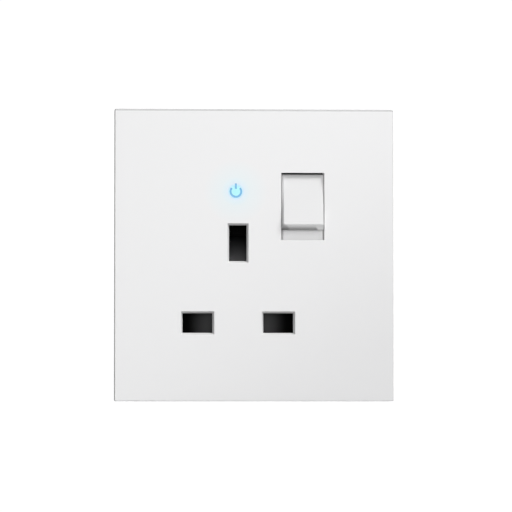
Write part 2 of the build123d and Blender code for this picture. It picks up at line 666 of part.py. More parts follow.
def fixed_tip():
    z = ROCKER_Z - TIP_REACH + TIP_RADIUS / 2
    return one_solid(rod_y(ROCKER_X, z, TIP_RADIUS, STRIP_Y - FIXED_TIP_THICKNESS, STRIP_Y))


def line_clip(x):
    """Two brass leaves over and under a line or neutral pin, with their base."""
    half = LINE_LEAF_WIDTH / 2
    grip = LINE_PIN_HEIGHT / 2 - LEAF_GRIP
    clip = Part()
    for level in (-1, 1):
        ends = sorted([PIN_LINE_Z + level * grip, PIN_LINE_Z + level * (grip + STRIP)])
        clip += block(x - half, x + half, LEAF_FRONT, LINE_BASE_Y + STRIP, ends[0], ends[1])
    clip += block(x - half, x + half, LINE_BASE_Y, LINE_BASE_Y + STRIP,
                  PIN_LINE_Z - grip - STRIP, PIN_LINE_Z + grip + STRIP)
    return clip


def neutral_contact():
    """Neutral clip with a tail down to its terminal."""
    grip = LINE_PIN_HEIGHT / 2 - LEAF_GRIP
    tail = block(NEUTRAL_X - LINE_LEAF_WIDTH / 2, NEUTRAL_X + LINE_LEAF_WIDTH / 2, LINE_BASE_Y,
                 LINE_BASE_Y + STRIP, terminal_base(-1) + TERMINAL_HEIGHT, PIN_LINE_Z - grip)
    return one_solid(line_clip(NEUTRAL_X) + tail)


def live_contact():
    """Live clip with a tail up to the switch's saddle."""
    grip = LINE_PIN_HEIGHT / 2 - LEAF_GRIP
    left = LIVE_X - LIVE_TAIL_HALF
    right = LIVE_X + LIVE_TAIL_HALF
    tail = block(left, right, LINE_BASE_Y, STRIP_Y + STRIP, PIN_LINE_Z + grip, PIN_LINE_Z + grip + STRIP)
    tail += block(left, right, STRIP_Y, STRIP_Y + STRIP, PIN_LINE_Z + grip, ROCKER_Z + LIVE_TAIL_HALF)
    tail += block(left, ROCKER_X + SADDLE_WIDTH / 2, STRIP_Y, STRIP_Y + STRIP,
                  ROCKER_Z - LIVE_TAIL_HALF, ROCKER_Z + LIVE_TAIL_HALF)
    return one_solid(line_clip(LIVE_X) + tail)


def earth_contact():
    """Two brass leaves beside the earth pin, with a tail up to the earth terminal."""
    grip = EARTH_PIN_WIDTH / 2 - LEAF_GRIP
    bottom = EARTH_PIN_Z - EARTH_LEAF_HEIGHT / 2
    top = EARTH_PIN_Z + EARTH_LEAF_HEIGHT / 2
    clip = Part()
    for side in (-1, 1):
        ends = sorted([SOCKET_X + side * grip, SOCKET_X + side * (grip + STRIP)])
        clip += block(ends[0], ends[1], LEAF_FRONT, EARTH_BASE_Y + STRIP, bottom, top)
    clip += block(SOCKET_X - grip - STRIP, SOCKET_X + grip + STRIP, EARTH_BASE_Y, EARTH_BASE_Y + STRIP,
                  bottom, terminal_base(1))
    return one_solid(clip)


def terminal_base(level):
    """Lower face of a terminal in the bottom row (-1) or the top row (1)."""
    if level < 0:
        return BLOCK_BOTTOM + HOUSING_WALL + TERMINAL_END_GAP
    return BLOCK_TOP - HOUSING_WALL - TERMINAL_END_GAP - TERMINAL_HEIGHT


def terminal(x, level):
    """A brass block with a wire hole along Z and a threaded hole from the back."""
    base = terminal_base(level)
    half = TERMINAL_WIDTH / 2
    body = block(x - half, x + half, TERMINAL_FRONT, TERMINAL_BACK, base, base + TERMINAL_HEIGHT)
    body -= rod_z(x, WIRE_Y, WIRE_RADIUS, base - CUT, base + TERMINAL_HEIGHT + CUT)
    body -= rod_y(x, base + TERMINAL_HEIGHT / 2, CLAMP_RADIUS + CLAMP_FIT, WIRE_Y, TERMINAL_BACK + CUT)
    return one_solid(body)


def terminal_screw(x, level):
    """The grub screw that clamps the wire, with a slot for the driver."""
    z = terminal_base(level) + TERMINAL_HEIGHT / 2
    end = HOUSING_DEPTH - CLAMP_END_RECESS
    screw = rod_y(x, z, CLAMP_RADIUS, WIRE_Y + WIRE_RADIUS + CLAMP_TIP_GAP, end)
    slot = block(x - 2 * CLAMP_RADIUS, x + 2 * CLAMP_RADIUS, end - CUT, end + CUT,
                 z - CLAMP_SLOT / 2, z + CLAMP_SLOT / 2)
    return one_solid(screw - slot)


def earth_strap():
    """The bar between the two earth terminals."""
    base = terminal_base(1)
    return one_solid(block(EARTH_LEFT_X + TERMINAL_WIDTH / 2, SOCKET_X - TERMINAL_WIDTH / 2,
                           TERMINAL_FRONT, TERMINAL_FRONT + 2 * STRIP,
                           base + STRIP, base + TERMINAL_HEIGHT - STRIP))


TERMINALS = {
    "live": (LIVE_TERMINAL_X, -1),
    "neutral": (NEUTRAL_X, -1),
    "earth_left": (EARTH_LEFT_X, 1),
    "earth_right": (SOCKET_X, 1),
}


def back_housing():
    half = HOUSING_HALF_WIDTH
    top = BLOCK_TOP
    shell = slab(-half, half, PARTING_Y, HOUSING_DEPTH, BLOCK_BOTTOM, top, HOUSING_CORNER)
    shell -= block(-half + HOUSING_WALL, half - HOUSING_WALL, -CUT, HOUSING_BACK,
                   BLOCK_BOTTOM + HOUSING_WALL, top - HOUSING_WALL)
    shell += block(-half + CUT, half - CUT, PARTITION_FRONT, PARTITION_BACK,
                   BLOCK_BOTTOM + CUT, PARTITION_TOP)
    shell += block(-half + CUT, EARTH_WALL_RIGHT, PARTITION_FRONT, PARTITION_BACK,
                   BLOCK_BOTTOM + CUT, EARTH_WALL_TOP)
    for x, z in HOUSING_SCREWS:
        shell += rod_y(x, z, BOSS_RADIUS, PARTING_Y, HOUSING_BACK + CUT)
    for x, level in TERMINALS.values():
        shell += terminal_ribs(x, level)
    shell += shutter_rails()
    shell -= pin_holes()
    for x, level in TERMINALS.values():
        z = terminal_base(level) + TERMINAL_HEIGHT / 2
        shell -= rod_y(x, z, CLAMP_ACCESS_RADIUS, HOUSING_BACK - CUT / 4, HOUSING_DEPTH + CUT)
        wall = BLOCK_BOTTOM if level < 0 else top
        shell -= rod_z(x, WIRE_Y, WIRE_ENTRY_RADIUS, wall - HOUSING_WALL - CUT / 4,
                       wall + HOUSING_WALL + CUT / 4)
    for x, z in HOUSING_SCREWS:
        shell -= rod_y(x, z, HOUSING_SCREW_RADIUS + HOUSING_SCREW_FIT, -CUT, HOUSING_DEPTH + CUT)
        shell -= rod_y(x, z, HOUSING_HEAD_RADIUS + HEAD_CLEARANCE, head_seat(), HOUSING_DEPTH + CUT)
    return one_solid(shell)


def terminal_ribs(x, level):
    """Two upright ribs on the back wall that hold a terminal from both sides."""
    base = terminal_base(level)
    ribs = Part()
    for side in (-1, 1):
        near = x + side * (TERMINAL_WIDTH / 2 + SEAT_GAP)
        ends = sorted([near, near + side * TERMINAL_RIB])
        ribs += block(ends[0], ends[1], TERMINAL_FRONT + 4 * STRIP, HOUSING_BACK + CUT / 2,
                      base - SEAT_GAP, base + TERMINAL_HEIGHT + SEAT_GAP)
    return ribs


def shutter_rails():
    """Two rails that carry the shutter's web from behind."""
    rails = Part()
    for side in (-1, 1):
        near = SOCKET_X + side * (COLUMN_HALF_WIDTH + SHUTTER_GAP)
        ends = sorted([near, near + side * GUIDE_THICKNESS])
        rails += block(ends[0], ends[1], SHUTTER_BACK + SHUTTER_GAP, PARTITION_FRONT + CUT / 2,
                       BLOCK_BOTTOM + HOUSING_WALL, COLUMN_BOTTOM)
    return rails


def pin_holes():
    """The holes in the partition that the three pins pass through."""
    half_w = LINE_PIN_WIDTH / 2 + PIN_CLEARANCE
    half_h = LINE_PIN_HEIGHT / 2 + PIN_CLEARANCE
    front = PARTITION_FRONT - CUT
    back = PARTITION_BACK + CUT / 4
    holes = Part()
    for x in (NEUTRAL_X, LIVE_X):
        holes += block(x - half_w, x + half_w, front, back, PIN_LINE_Z - half_h, PIN_LINE_Z + half_h)
    half_w = EARTH_PIN_WIDTH / 2 + PIN_CLEARANCE
    half_h = EARTH_PIN_HEIGHT / 2 + PIN_CLEARANCE
    holes += block(SOCKET_X - half_w, SOCKET_X + half_w, front, back,
                   EARTH_PIN_Z - half_h, EARTH_PIN_Z + half_h)
    return holes


def head_seat():
    """The depth at which the housing screws' heads sit."""
    return HOUSING_DEPTH - HOUSING_HEAD_HEIGHT - HEAD_CLEARANCE


def housing_screws():
    """The four screws that hold the back housing to the frame."""
    group = []
    for x, z in HOUSING_SCREWS:
        seat = head_seat()
        end = seat + HOUSING_HEAD_HEIGHT
        screw = rod_y(x, z, HOUSING_HEAD_RADIUS, seat, end)
        screw += rod_y(x, z, HOUSING_SCREW_RADIUS, BLOCK_INNER + SEAT_GAP, seat + CUT / 2)
        for length, width in ((HOUSING_HEAD_RADIUS, CLAMP_SLOT), (CLAMP_SLOT, HOUSING_HEAD_RADIUS)):
            screw -= block(x - length / 2, x + length / 2, end - CUT, end + CUT,
                           z - width / 2, z + width / 2)
        group.append(one_solid(screw))
    return Compound(children=[part.solid() for part in group])


def indicator_board():
    front = board_front()
    board = block(BOARD_LEFT, BOARD_RIGHT, front, front + BOARD_THICKNESS, BOARD_BOTTOM, BOARD_TOP)
    return one_solid(board)


def indicator_lamp():
    """The lamp: a round base on the board and a domed lens towards the light pipe."""
    front = board_front()
    lens = rod_y(SYMBOL_X, SYMBOL_Z, LAMP_RADIUS, front - LAMP_HEIGHT, front)
    lens = fillet(lens.faces().sort_by(Axis.Y)[0].edges(), LAMP_RADIUS / 2)
    lens += rod_y(SYMBOL_X, SYMBOL_Z, LAMP_RADIUS + LAMP_FLANGE, front - LAMP_FLANGE, front)
    return one_solid(lens)


def axial_part(x, z, radius, length):
    """A round component lying along Z before the board, on two bent legs."""
    front = board_front()
    y = front - radius - LEG_RADIUS
    half = length / 2
    body = rod_z(x, y, radius, z - half, z + half)
    body = fillet(body.edges().filter_by(GeomType.CIRCLE), radius / 3)
    end = half + LEG_RUN
    body += rod_z(x, y, LEG_RADIUS, z - end, z + end)
    for side in (-1, 1):
        body += rod_y(x, z + side * end, LEG_RADIUS, y, front)
        body += Pos(x, y, z + side * end) * Sphere(LEG_RADIUS)
    return one_solid(body)


def indicator_resistor():
    z = (BOARD_BOTTOM + BOARD_TOP) / 2
    x = (BOARD_LEFT + SYMBOL_X - LAMP_RADIUS) / 2
    return axial_part(x, z, RESISTOR_RADIUS, RESISTOR_LENGTH)


def indicator_diode():
    z = (BOARD_BOTTOM + BOARD_TOP) / 2
    x = (BOARD_RIGHT + SYMBOL_X + LAMP_RADIUS) / 2
    return axial_part(x, z, DIODE_RADIUS, DIODE_LENGTH)


def lead(points):
    """An insulated wire along a path with round bends."""
    path = FilletPolyline(*points, radius=LEAD_BEND)
    start = Plane(origin=path @ 0, z_dir=path % 0)
    return one_solid(sweep(start * Circle(LEAD_RADIUS), path=path))


def indicator_live_lead():
    """From the board's right edge back and across to the live strip."""
    y = board_front() + BOARD_THICKNESS
    x = BOARD_RIGHT - 2 * LEAD_RADIUS
    z = BOARD_BOTTOM + 2 * LEAD_RADIUS
    end = STRIP_Y - LEAD_RADIUS
    return lead([(x, y, z), (x, end, z), (LIVE_X - LIVE_TAIL_HALF / 2, end, z)])


def indicator_neutral_lead():
    """From the board's left edge back and down to the neutral clip."""
    y = board_front() + BOARD_THICKNESS
    x = BOARD_LEFT + 2 * LEAD_RADIUS
    z = BOARD_BOTTOM + 2 * LEAD_RADIUS
    depth = LEAF_FRONT + 2 * LEAD_RADIUS
    grip = LINE_PIN_HEIGHT / 2 - LEAF_GRIP
    clip_top = PIN_LINE_Z + grip + STRIP
    turn = clip_top + 3 * LEAD_BEND
    return lead([(x, y, z), (x, depth, z), (x, depth, turn), (NEUTRAL_X, depth, turn),
                 (NEUTRAL_X, depth, clip_top)])


PIECES = {
    "front_plate": front_plate,
    "light_guide": light_guide,
    "support_frame": support_frame,
    "box_screws": box_screws,
    "shutter": shutter,
    "shutter_spring": shutter_spring,
    "rocker": rocker,
    "rocker_plunger": rocker_plunger,
    "rocker_spring": rocker_spring,
    "moving_contact": moving_contact,
    "moving_tip": moving_tip,
    "contact_saddle": contact_saddle,
    "fixed_contact": fixed_contact,
    "fixed_tip": fixed_tip,
    "live_contact": live_contact,
    "neutral_contact": neutral_contact,
    "earth_contact": earth_contact,
    "earth_strap": earth_strap,
    "back_housing": back_housing,
    "housing_screws": housing_screws,
    "indicator_board": indicator_board,
    "indicator_lamp": indicator_lamp,
    "indicator_resistor": indicator_resistor,
    "indicator_diode": indicator_diode,
    "indicator_live_lead": indicator_live_lead,
    "indicator_neutral_lead": indicator_neutral_lead,
}

os.makedirs("parts", exist_ok=True)
for name, make in PIECES.items():
    export_step(make(), f"parts/{name}.step")
for name, (x, level) in TERMINALS.items():
    export_step(terminal(x, level), f"parts/{name}_terminal.step")
    export_step(terminal_screw(x, level), f"parts/{name}_terminal_screw.step")
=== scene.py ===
# %% [markdown]
# A switched wall socket, dressed for its photograph
#
# The real object is a flat white plate with three pin openings, a rocker and a lit power symbol. Its
# solids come from the CAD model and stay where they are. This script gives every one of them a
# finish, swaps the plain screws for screws with threads and the CAD springs for copies of their
# coils, adds small printed marks on the back, and sets up the light and the camera. The shapes could
# be modelled again here, but taking them from the frame keeps one source for every size.
# %% Load the frame
import bpy
import bmesh
import math
from mathutils import Matrix, Vector


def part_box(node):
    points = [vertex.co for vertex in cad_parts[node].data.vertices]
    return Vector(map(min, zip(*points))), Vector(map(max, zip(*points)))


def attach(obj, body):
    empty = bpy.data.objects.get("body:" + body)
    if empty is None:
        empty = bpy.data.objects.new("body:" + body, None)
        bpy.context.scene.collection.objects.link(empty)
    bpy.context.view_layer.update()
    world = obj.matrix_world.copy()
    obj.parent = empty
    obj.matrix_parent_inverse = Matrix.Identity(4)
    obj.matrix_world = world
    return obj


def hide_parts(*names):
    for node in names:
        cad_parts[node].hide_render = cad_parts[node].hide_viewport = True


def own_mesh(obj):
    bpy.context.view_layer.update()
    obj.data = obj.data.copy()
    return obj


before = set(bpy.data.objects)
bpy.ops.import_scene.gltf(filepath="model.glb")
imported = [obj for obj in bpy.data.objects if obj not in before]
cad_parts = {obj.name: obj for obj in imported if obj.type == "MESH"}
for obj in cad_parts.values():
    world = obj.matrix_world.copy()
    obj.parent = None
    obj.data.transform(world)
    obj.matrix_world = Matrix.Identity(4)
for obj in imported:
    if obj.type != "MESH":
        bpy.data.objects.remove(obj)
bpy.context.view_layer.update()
print("nodes loaded:", len(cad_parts))

# %% [markdown]
# Where things are
#
# Every object is in metres, so one constant turns millimetres into metres. The front face looks
# along -Y. Places could be typed in as numbers. They are read from the CAD nodes' boxes, so that the
# scene follows the model when a size changes there.
# %% Units and places
MM = 0.001

plate_low, plate_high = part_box("front_plate")
PLATE_WIDTH = plate_high.x - plate_low.x
PLATE_HEIGHT = plate_high.z - plate_low.z
PLATE_FRONT = plate_low.y
PLATE_CENTRE = (plate_low + plate_high) / 2
print("plate:", round(PLATE_WIDTH / MM, 2), "x", round(PLATE_HEIGHT / MM, 2), "mm")

guide_low, guide_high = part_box("light_guide")
SYMBOL_X = (guide_low.x + guide_high.x) / 2
SYMBOL_Z = (guide_low.z + guide_high.z) / 2
print("symbol's centre:", round(SYMBOL_X / MM, 2), round(SYMBOL_Z / MM, 2), "mm")

# %% [markdown]
# Helpers for materials
#
# A material in Blender is a small graph. The Principled shader takes a colour, a roughness and a
# normal, and a procedural texture can drive each of them. The graph could be drawn by hand in the
# shader editor. As code it can be repeated and changed by name, and the helpers keep that code short:
# one makes a node and sets its fields, one joins two sockets, and one feeds an input with a socket
# or with a plain value.
# %% Graph helpers
def add_node(tree, kind, **settings):
    node = tree.nodes.new(kind)
    for name, value in settings.items():
        if hasattr(node, name):
            setattr(node, name, value)
        else:
            node.inputs[name.replace("_", " ")].default_value = value
    return node


def join(tree, source, target):
    tree.links.new(source, target)


def feed(tree, source, target):
    """Join a socket to an input, or set the input to a number or a colour of three parts."""
    if isinstance(source, bpy.types.NodeSocket):
        join(tree, source, target)
    elif isinstance(source, tuple):
        target.default_value = (*source, 1)
    else:
        target.default_value = source


# %% Helpers for places and values
def object_place(tree):
    """The shaded point in Object coordinates, which are metres in the frame."""
    return add_node(tree, "ShaderNodeTexCoord").outputs["Object"]


def maths(tree, operation, *values):
    node = add_node(tree, "ShaderNodeMath", operation=operation)
    for value, target in zip(values, node.inputs):
        feed(tree, value, target)
    return node.outputs[0]


def scale_colour(tree, colour, factor):
    node = add_node(tree, "ShaderNodeVectorMath", operation="SCALE")
    join(tree, colour, node.inputs[0])
    join(tree, factor, node.inputs["Scale"])
    return node.outputs[0]


# %% A helper for groups
def blank_group(name, inputs, outputs):
    """A new shader group with named inputs (name, type, default) and outputs (name, type)."""
    group = bpy.data.node_groups.new(name, "ShaderNodeTree")
    for label, kind, default in inputs:
        socket = group.interface.new_socket(label, in_out="INPUT", socket_type=kind)
        socket.default_value = default
    for label, kind in outputs:
        group.interface.new_socket(label, in_out="OUTPUT", socket_type=kind)
    start = group.nodes.new("NodeGroupInput")
    end = group.nodes.new("NodeGroupOutput")
    return group, start, end


# %% [markdown]
# Moulded plastic
#
# Moulded plastic is never one flat colour. Its skin has a very fine grain from the tool, slow
# changes of gloss, and a trace of shade variation. An image texture could carry all that, but it
# would need unwrapping. One shared group makes the three from noise textures on Object coordinates,
# so the pattern is fixed to the piece in real millimetres and every plastic can use it.
# %% The plastic group
SLOW_SCALE = 70.0
GRAIN_SCALE = 6000.0


def build_plastic_group():
    group, start, end = blank_group(
        "moulded plastic",
        [("Colour", "NodeSocketColor", (0.8, 0.8, 0.8, 1)),
         ("Shade change", "NodeSocketFloat", 0.02),
         ("Roughness", "NodeSocketFloat", 0.35),
         ("Gloss change", "NodeSocketFloat", 0.05),
         ("Grain scale", "NodeSocketFloat", GRAIN_SCALE)],
        [("Colour", "NodeSocketColor"), ("Roughness", "NodeSocketFloat"),
         ("Grain", "NodeSocketFloat")],
    )
    given = start.outputs
    place = object_place(group)
    slow = add_node(group, "ShaderNodeTexNoise", Scale=SLOW_SCALE, Detail=2.0)
    join(group, place, slow.inputs["Vector"])
    centred = maths(group, "SUBTRACT", slow.outputs["Fac"], 0.5)
    shade = maths(group, "MULTIPLY_ADD", centred, given["Shade change"], 1.0)
    join(group, scale_colour(group, given["Colour"], shade), end.inputs["Colour"])
    gloss = maths(group, "MULTIPLY_ADD", centred, given["Gloss change"], given["Roughness"])
    join(group, gloss, end.inputs["Roughness"])

    grain = add_node(group, "ShaderNodeTexNoise", Detail=3.0)
    join(group, place, grain.inputs["Vector"])
    join(group, given["Grain scale"], grain.inputs["Scale"])
    join(group, grain.outputs["Fac"], end.inputs["Grain"])
    return group


PLASTIC = build_plastic_group()
print("group:", PLASTIC.name, "with", len(PLASTIC.nodes), "nodes")


# %% A material from a group
def grouped_material(name, group, relief, distance, strength):
    """A material driven by one group; relief names the output that its bump follows."""
    material = bpy.data.materials.new(name)
    material.use_nodes = True
    tree = material.node_tree
    shader = tree.nodes["Principled BSDF"]
    skin = add_node(tree, "ShaderNodeGroup", node_tree=group)
    skin.name = "skin"
    bump = add_node(tree, "ShaderNodeBump", Strength=strength, Distance=distance)
    bump.name = "bump"
    join(tree, skin.outputs["Colour"], shader.inputs["Base Color"])
    join(tree, skin.outputs["Roughness"], shader.inputs["Roughness"])
    join(tree, skin.outputs[relief], bump.inputs["Height"])
    join(tree, bump.outputs["Normal"], shader.inputs["Normal"])
    return material


# %% A material from the plastic group
PLASTIC_IOR = 1.5
GRAIN_STRENGTH = 0.25


def plastic(name, colour, roughness, grain_height, shade=0.02, grain_scale=GRAIN_SCALE):
    """The grain's height is in millimetres."""
    material = grouped_material(name, PLASTIC, "Grain", grain_height * MM, GRAIN_STRENGTH)
    tree = material.node_tree
    tree.nodes["Principled BSDF"].inputs["IOR"].default_value = PLASTIC_IOR
    skin = tree.nodes["skin"].inputs
    feed(tree, colour, skin["Colour"])
    feed(tree, shade, skin["Shade change"])
    feed(tree, roughness, skin["Roughness"])
    feed(tree, grain_scale, skin["Grain scale"])
    return material


# %% [markdown]
# Metals
#
# Rolled brass strip shows fine drawn lines and a slightly uneven polish, and zinc-plated steel is a
# little cloudy. A plain metallic shader would look like a mirror. Both finishes come from one group
# instead: a stretched noise gives the lines and a soft one gives the cloudiness.
# %% A helper that mixes colours
def mix_colours(tree, factor, one, two):
    """The first colour where the factor is zero, and the second where it is one."""
    node = add_node(tree, "ShaderNodeMix", data_type="RGBA")
    join(tree, factor, node.inputs["Factor"])
    feed(tree, one, node.inputs[6])
    feed(tree, two, node.inputs[7])
    return node.outputs[2]


# %% The metal group
LINE_SCALE = 9000.0
LINE_STRETCH = 0.06
CLOUD_SCALE = 350.0
CLOUD_ROUGHNESS = 0.15


def build_metal_group():
    group, start, end = blank_group(
        "drawn metal",
        [("Colour", "NodeSocketColor", (0.8, 0.8, 0.8, 1)),
         ("Dull colour", "NodeSocketColor", (0.5, 0.5, 0.5, 1)),
         ("Roughness", "NodeSocketFloat", 0.3)],
        [("Colour", "NodeSocketColor"), ("Roughness", "NodeSocketFloat"),
         ("Lines", "NodeSocketFloat")],
    )
    given = start.outputs
    place = object_place(group)
    stretch = add_node(group, "ShaderNodeMapping", Scale=(1.0, 1.0, LINE_STRETCH))
    join(group, place, stretch.inputs["Vector"])
    lines = add_node(group, "ShaderNodeTexNoise", Scale=LINE_SCALE, Detail=2.0)
    join(group, stretch.outputs["Vector"], lines.inputs["Vector"])
    join(group, lines.outputs["Fac"], end.inputs["Lines"])

    cloud = add_node(group, "ShaderNodeTexNoise", Scale=CLOUD_SCALE, Detail=4.0)
    join(group, place, cloud.inputs["Vector"])
    cloudiness = cloud.outputs["Fac"]
    colour = mix_colours(group, cloudiness, given["Colour"], given["Dull colour"])
    join(group, colour, end.inputs["Colour"])
    rough = maths(group, "MULTIPLY_ADD", cloudiness, CLOUD_ROUGHNESS, given["Roughness"])
    join(group, rough, end.inputs["Roughness"])
    return group


METAL = build_metal_group()
print("group:", METAL.name, "with", len(METAL.nodes), "nodes")

# %% A material from the metal group
LINE_HEIGHT = 0.01 * MM
LINE_STRENGTH = 0.15


def metal(name, colour, dull, roughness):
    material = grouped_material(name, METAL, "Lines", LINE_HEIGHT, LINE_STRENGTH)
    tree = material.node_tree
    tree.nodes["Principled BSDF"].inputs["Metallic"].default_value = 1.0
    skin = tree.nodes["skin"].inputs
    feed(tree, colour, skin["Colour"])
    feed(tree, dull, skin["Dull colour"])
    feed(tree, roughness, skin["Roughness"])
    return material


# %% [markdown]
# The finishes
#
# The plate and the rocker are the same bright white plastic. The hidden mouldings are duller, the
# shutter is black, and the metal pieces are brass or plated steel. One material with a colour for
# each object would be shorter. A material for each finish keeps gloss and grain apart too, as they
# are on real plastics and metals.
# %% Plastic finishes
WHITE = (0.84, 0.84, 0.845)

plate_white = plastic("plate white", WHITE, 0.2, 0.01)
rocker_white = plastic("rocker white", WHITE, 0.34, 0.01)
frame_white = plastic("frame white", (0.72, 0.72, 0.71), 0.5, 0.03, shade=0.04)
housing_black = plastic("housing black", (0.022, 0.022, 0.023), 0.5, 0.04,
                        shade=0.2, grain_scale=4000.0)
shutter_black = plastic("shutter black", (0.004, 0.004, 0.004), 0.5, 0.02, shade=0.2)
plunger_natural = plastic("natural nylon", (0.62, 0.6, 0.54), 0.4, 0.02, shade=0.06)
sleeve_brown = plastic("brown sleeve", (0.09, 0.035, 0.015), 0.45, 0.02, shade=0.15)
sleeve_blue = plastic("blue sleeve", (0.02, 0.07, 0.3), 0.45, 0.02, shade=0.15)
letter_grey = plastic("letter grey", (0.42, 0.42, 0.42), 0.5, 0.01)
diode_black = plastic("diode black", (0.02, 0.02, 0.02), 0.35, 0.02, shade=0.2)
print("plastics:", PLASTIC.users)

# %% Metal finishes
brass_strip = metal("rolled brass", (0.72, 0.5, 0.2), (0.5, 0.33, 0.12), 0.25)
brass_block = metal("machined brass", (0.75, 0.54, 0.24), (0.6, 0.4, 0.15), 0.2)
zinc_plate = metal("zinc plate", (0.66, 0.67, 0.68), (0.48, 0.49, 0.5), 0.25)
spring_wire = metal("spring wire", (0.5, 0.5, 0.51), (0.35, 0.35, 0.36), 0.2)
silver_face = metal("silver face", (0.8, 0.79, 0.77), (0.62, 0.61, 0.6), 0.2)
print("metals:", METAL.users)

# %% [markdown]
# The shutter's painted reflection
#
# The black shutter is painted a little greyer near its middle, and towards the lower end of its
# column, as a painted reflection on its glossy plastic. The grey could be painted on the mesh. Here a
# mask is worked out from the distance to the socket's centre line and from the height, so it needs no
# texture paint and stays in its place. It changes the colour only, and the specular level is low, so
# the openings stay dark in soft light.
# %% Helpers for masks
def object_axes(tree):
    """The shaded point as three values, by the names X, Y and Z."""
    parts = add_node(tree, "ShaderNodeSeparateXYZ")
    join(tree, object_place(tree), parts.inputs["Vector"])
    return parts.outputs


def step(tree, value, start, end, low=0.0, high=1.0):
    """A soft step: the low level at the start value and the high level at the end value."""
    node = add_node(tree, "ShaderNodeMapRange", interpolation_type="SMOOTHSTEP",
                    From_Min=start, From_Max=end, To_Min=low, To_Max=high)
    join(tree, value, node.inputs["Value"])
    return node.outputs["Result"]


def mix_values(tree, factor, one, two):
    """The first value where the factor is zero, and the second where it is one."""
    node = add_node(tree, "ShaderNodeMix", data_type="FLOAT")
    join(tree, factor, node.inputs["Factor"])
    feed(tree, one, node.inputs[2])
    feed(tree, two, node.inputs[3])
    return node.outputs[0]


def colour_skin(tree, colour):
    """Drive the colour that the material's group starts from."""
    join(tree, colour, tree.nodes["skin"].inputs["Colour"])


# %% Painted reflection on the shutter
shutter_low, shutter_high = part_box("shutter")
SOCKET_X = (shutter_low.x + shutter_high.x) / 2
REFLECTION_REACH = 15.5 * MM
REFLECTION_START = 9.0 * MM
BLADE_REFLECTION = 0.56
COLUMN_TOP = 7.4 * MM
COLUMN_FOOT = -4.0 * MM
BLADE_LEVEL = -14.0 * MM
UNREFLECTED_BLACK = (0.001, 0.001, 0.001)
REFLECTED_GREY = (0.11, 0.11, 0.114)
DULL_SPECULAR = 0.03


def add_painted_reflection(material):
    tree = material.node_tree
    tree.nodes["Principled BSDF"].inputs["Specular IOR Level"].default_value = DULL_SPECULAR
    axes = object_axes(tree)
    away = maths(tree, "ABSOLUTE", maths(tree, "SUBTRACT", axes["X"], SOCKET_X))
    sideways = step(tree, away, REFLECTION_REACH, REFLECTION_START, high=BLADE_REFLECTION)
    downwards = step(tree, axes["Z"], COLUMN_TOP, COLUMN_FOOT)
    on_column = maths(tree, "GREATER_THAN", axes["Z"], BLADE_LEVEL)
    # Painted reflection: the black is mixed towards grey near the middle and down the column.
    reflection = mix_values(tree, on_column, sideways, downwards)
    colour_skin(tree, mix_colours(tree, reflection, UNREFLECTED_BLACK, REFLECTED_GREY))


add_painted_reflection(shutter_black)
print("socket's centre line: X =", round(SOCKET_X / MM, 2), "mm")

# %% [markdown]
# The housing's dark middle, in painted shade
#
# Through the upper part of the earth opening the eye meets the housing's deep inner walls, where
# little light reaches. Within a centimetre of that spot the colour is painted pure black as the
# cavity's shade, and outside it the housing is a dull dark grey. Two materials would need the mesh
# cut in two. One material with a mask is enough: the mask is the distance from a point, which the
# vector math node gives directly.
# %% Painted shade inside the housing
DARK_SPOT = (SOCKET_X, 5.0 * MM, 5.0 * MM)
DARK_RADIUS = 9.5 * MM
DARK_FADE = 12.0 * MM
CAVITY_SHADE_BLACK = (0.0008, 0.0008, 0.0008)


def add_painted_cavity_shade(material):
    tree = material.node_tree
    tree.nodes["Principled BSDF"].inputs["Specular IOR Level"].default_value = DULL_SPECULAR
    far = add_node(tree, "ShaderNodeVectorMath", operation="DISTANCE")
    far.inputs[1].default_value = DARK_SPOT
    join(tree, object_place(tree), far.inputs[0])
    mask = step(tree, far.outputs["Value"], DARK_RADIUS, DARK_FADE)
    outside = tuple(tree.nodes["skin"].inputs["Colour"].default_value)[:3]
    # Painted shade: pure black near the spot, fading to the housing's own grey.
    colour_skin(tree, mix_colours(tree, mask, CAVITY_SHADE_BLACK, outside))


add_painted_cavity_shade(housing_black)
print("dark within", round(DARK_RADIUS / MM, 1), "mm of the spot")

# %% [markdown]
# The lit symbol
#
# The power symbol is a clear light guide that shines from behind. The light also bleeds through
# the thin plastic round it, so the inside of the ring is pale cyan and a soft bluish halo fades
# out within a centimetre. Real scattering with a lamp behind the plate would need many samples.
# The halo is a mask by distance from the symbol's centre instead. It tints the plate's colour and
# adds a little emission, and both follow the same steps.
# %% Distance from the symbol
def distance_from_symbol(tree):
    """A value socket: the distance from the symbol's centre across the face, in millimetres."""
    centre = add_node(tree, "ShaderNodeMapping", Location=(-SYMBOL_X / MM, 0, -SYMBOL_Z / MM),
                      Scale=(1 / MM, 0, 1 / MM))
    length = add_node(tree, "ShaderNodeVectorMath", operation="LENGTH")
    join(tree, object_place(tree), centre.inputs["Vector"])
    join(tree, centre.outputs["Vector"], length.inputs[0])
    return length.outputs["Value"]


# %% Helpers for the glow
def colour_ramp(tree, value, stops, interpolation="LINEAR"):
    """A colour for each value from zero to one; a stop is a position and a colour."""
    node = add_node(tree, "ShaderNodeValToRGB")
    ramp = node.color_ramp
    ramp.interpolation = interpolation
    while len(ramp.elements) < len(stops):
        ramp.elements.new(0.5)
    for element, (position, colour) in zip(ramp.elements, stops):
        element.position = position
        element.color = (*colour, 1)
    join(tree, value, node.inputs["Fac"])
    return node.outputs["Color"]


def shine(tree, colour):
    """Let the surface give off a colour of its own."""
    shader = tree.nodes["Principled BSDF"]
    join(tree, colour, shader.inputs["Emission Color"])
    shader.inputs["Emission Strength"].default_value = 1.0


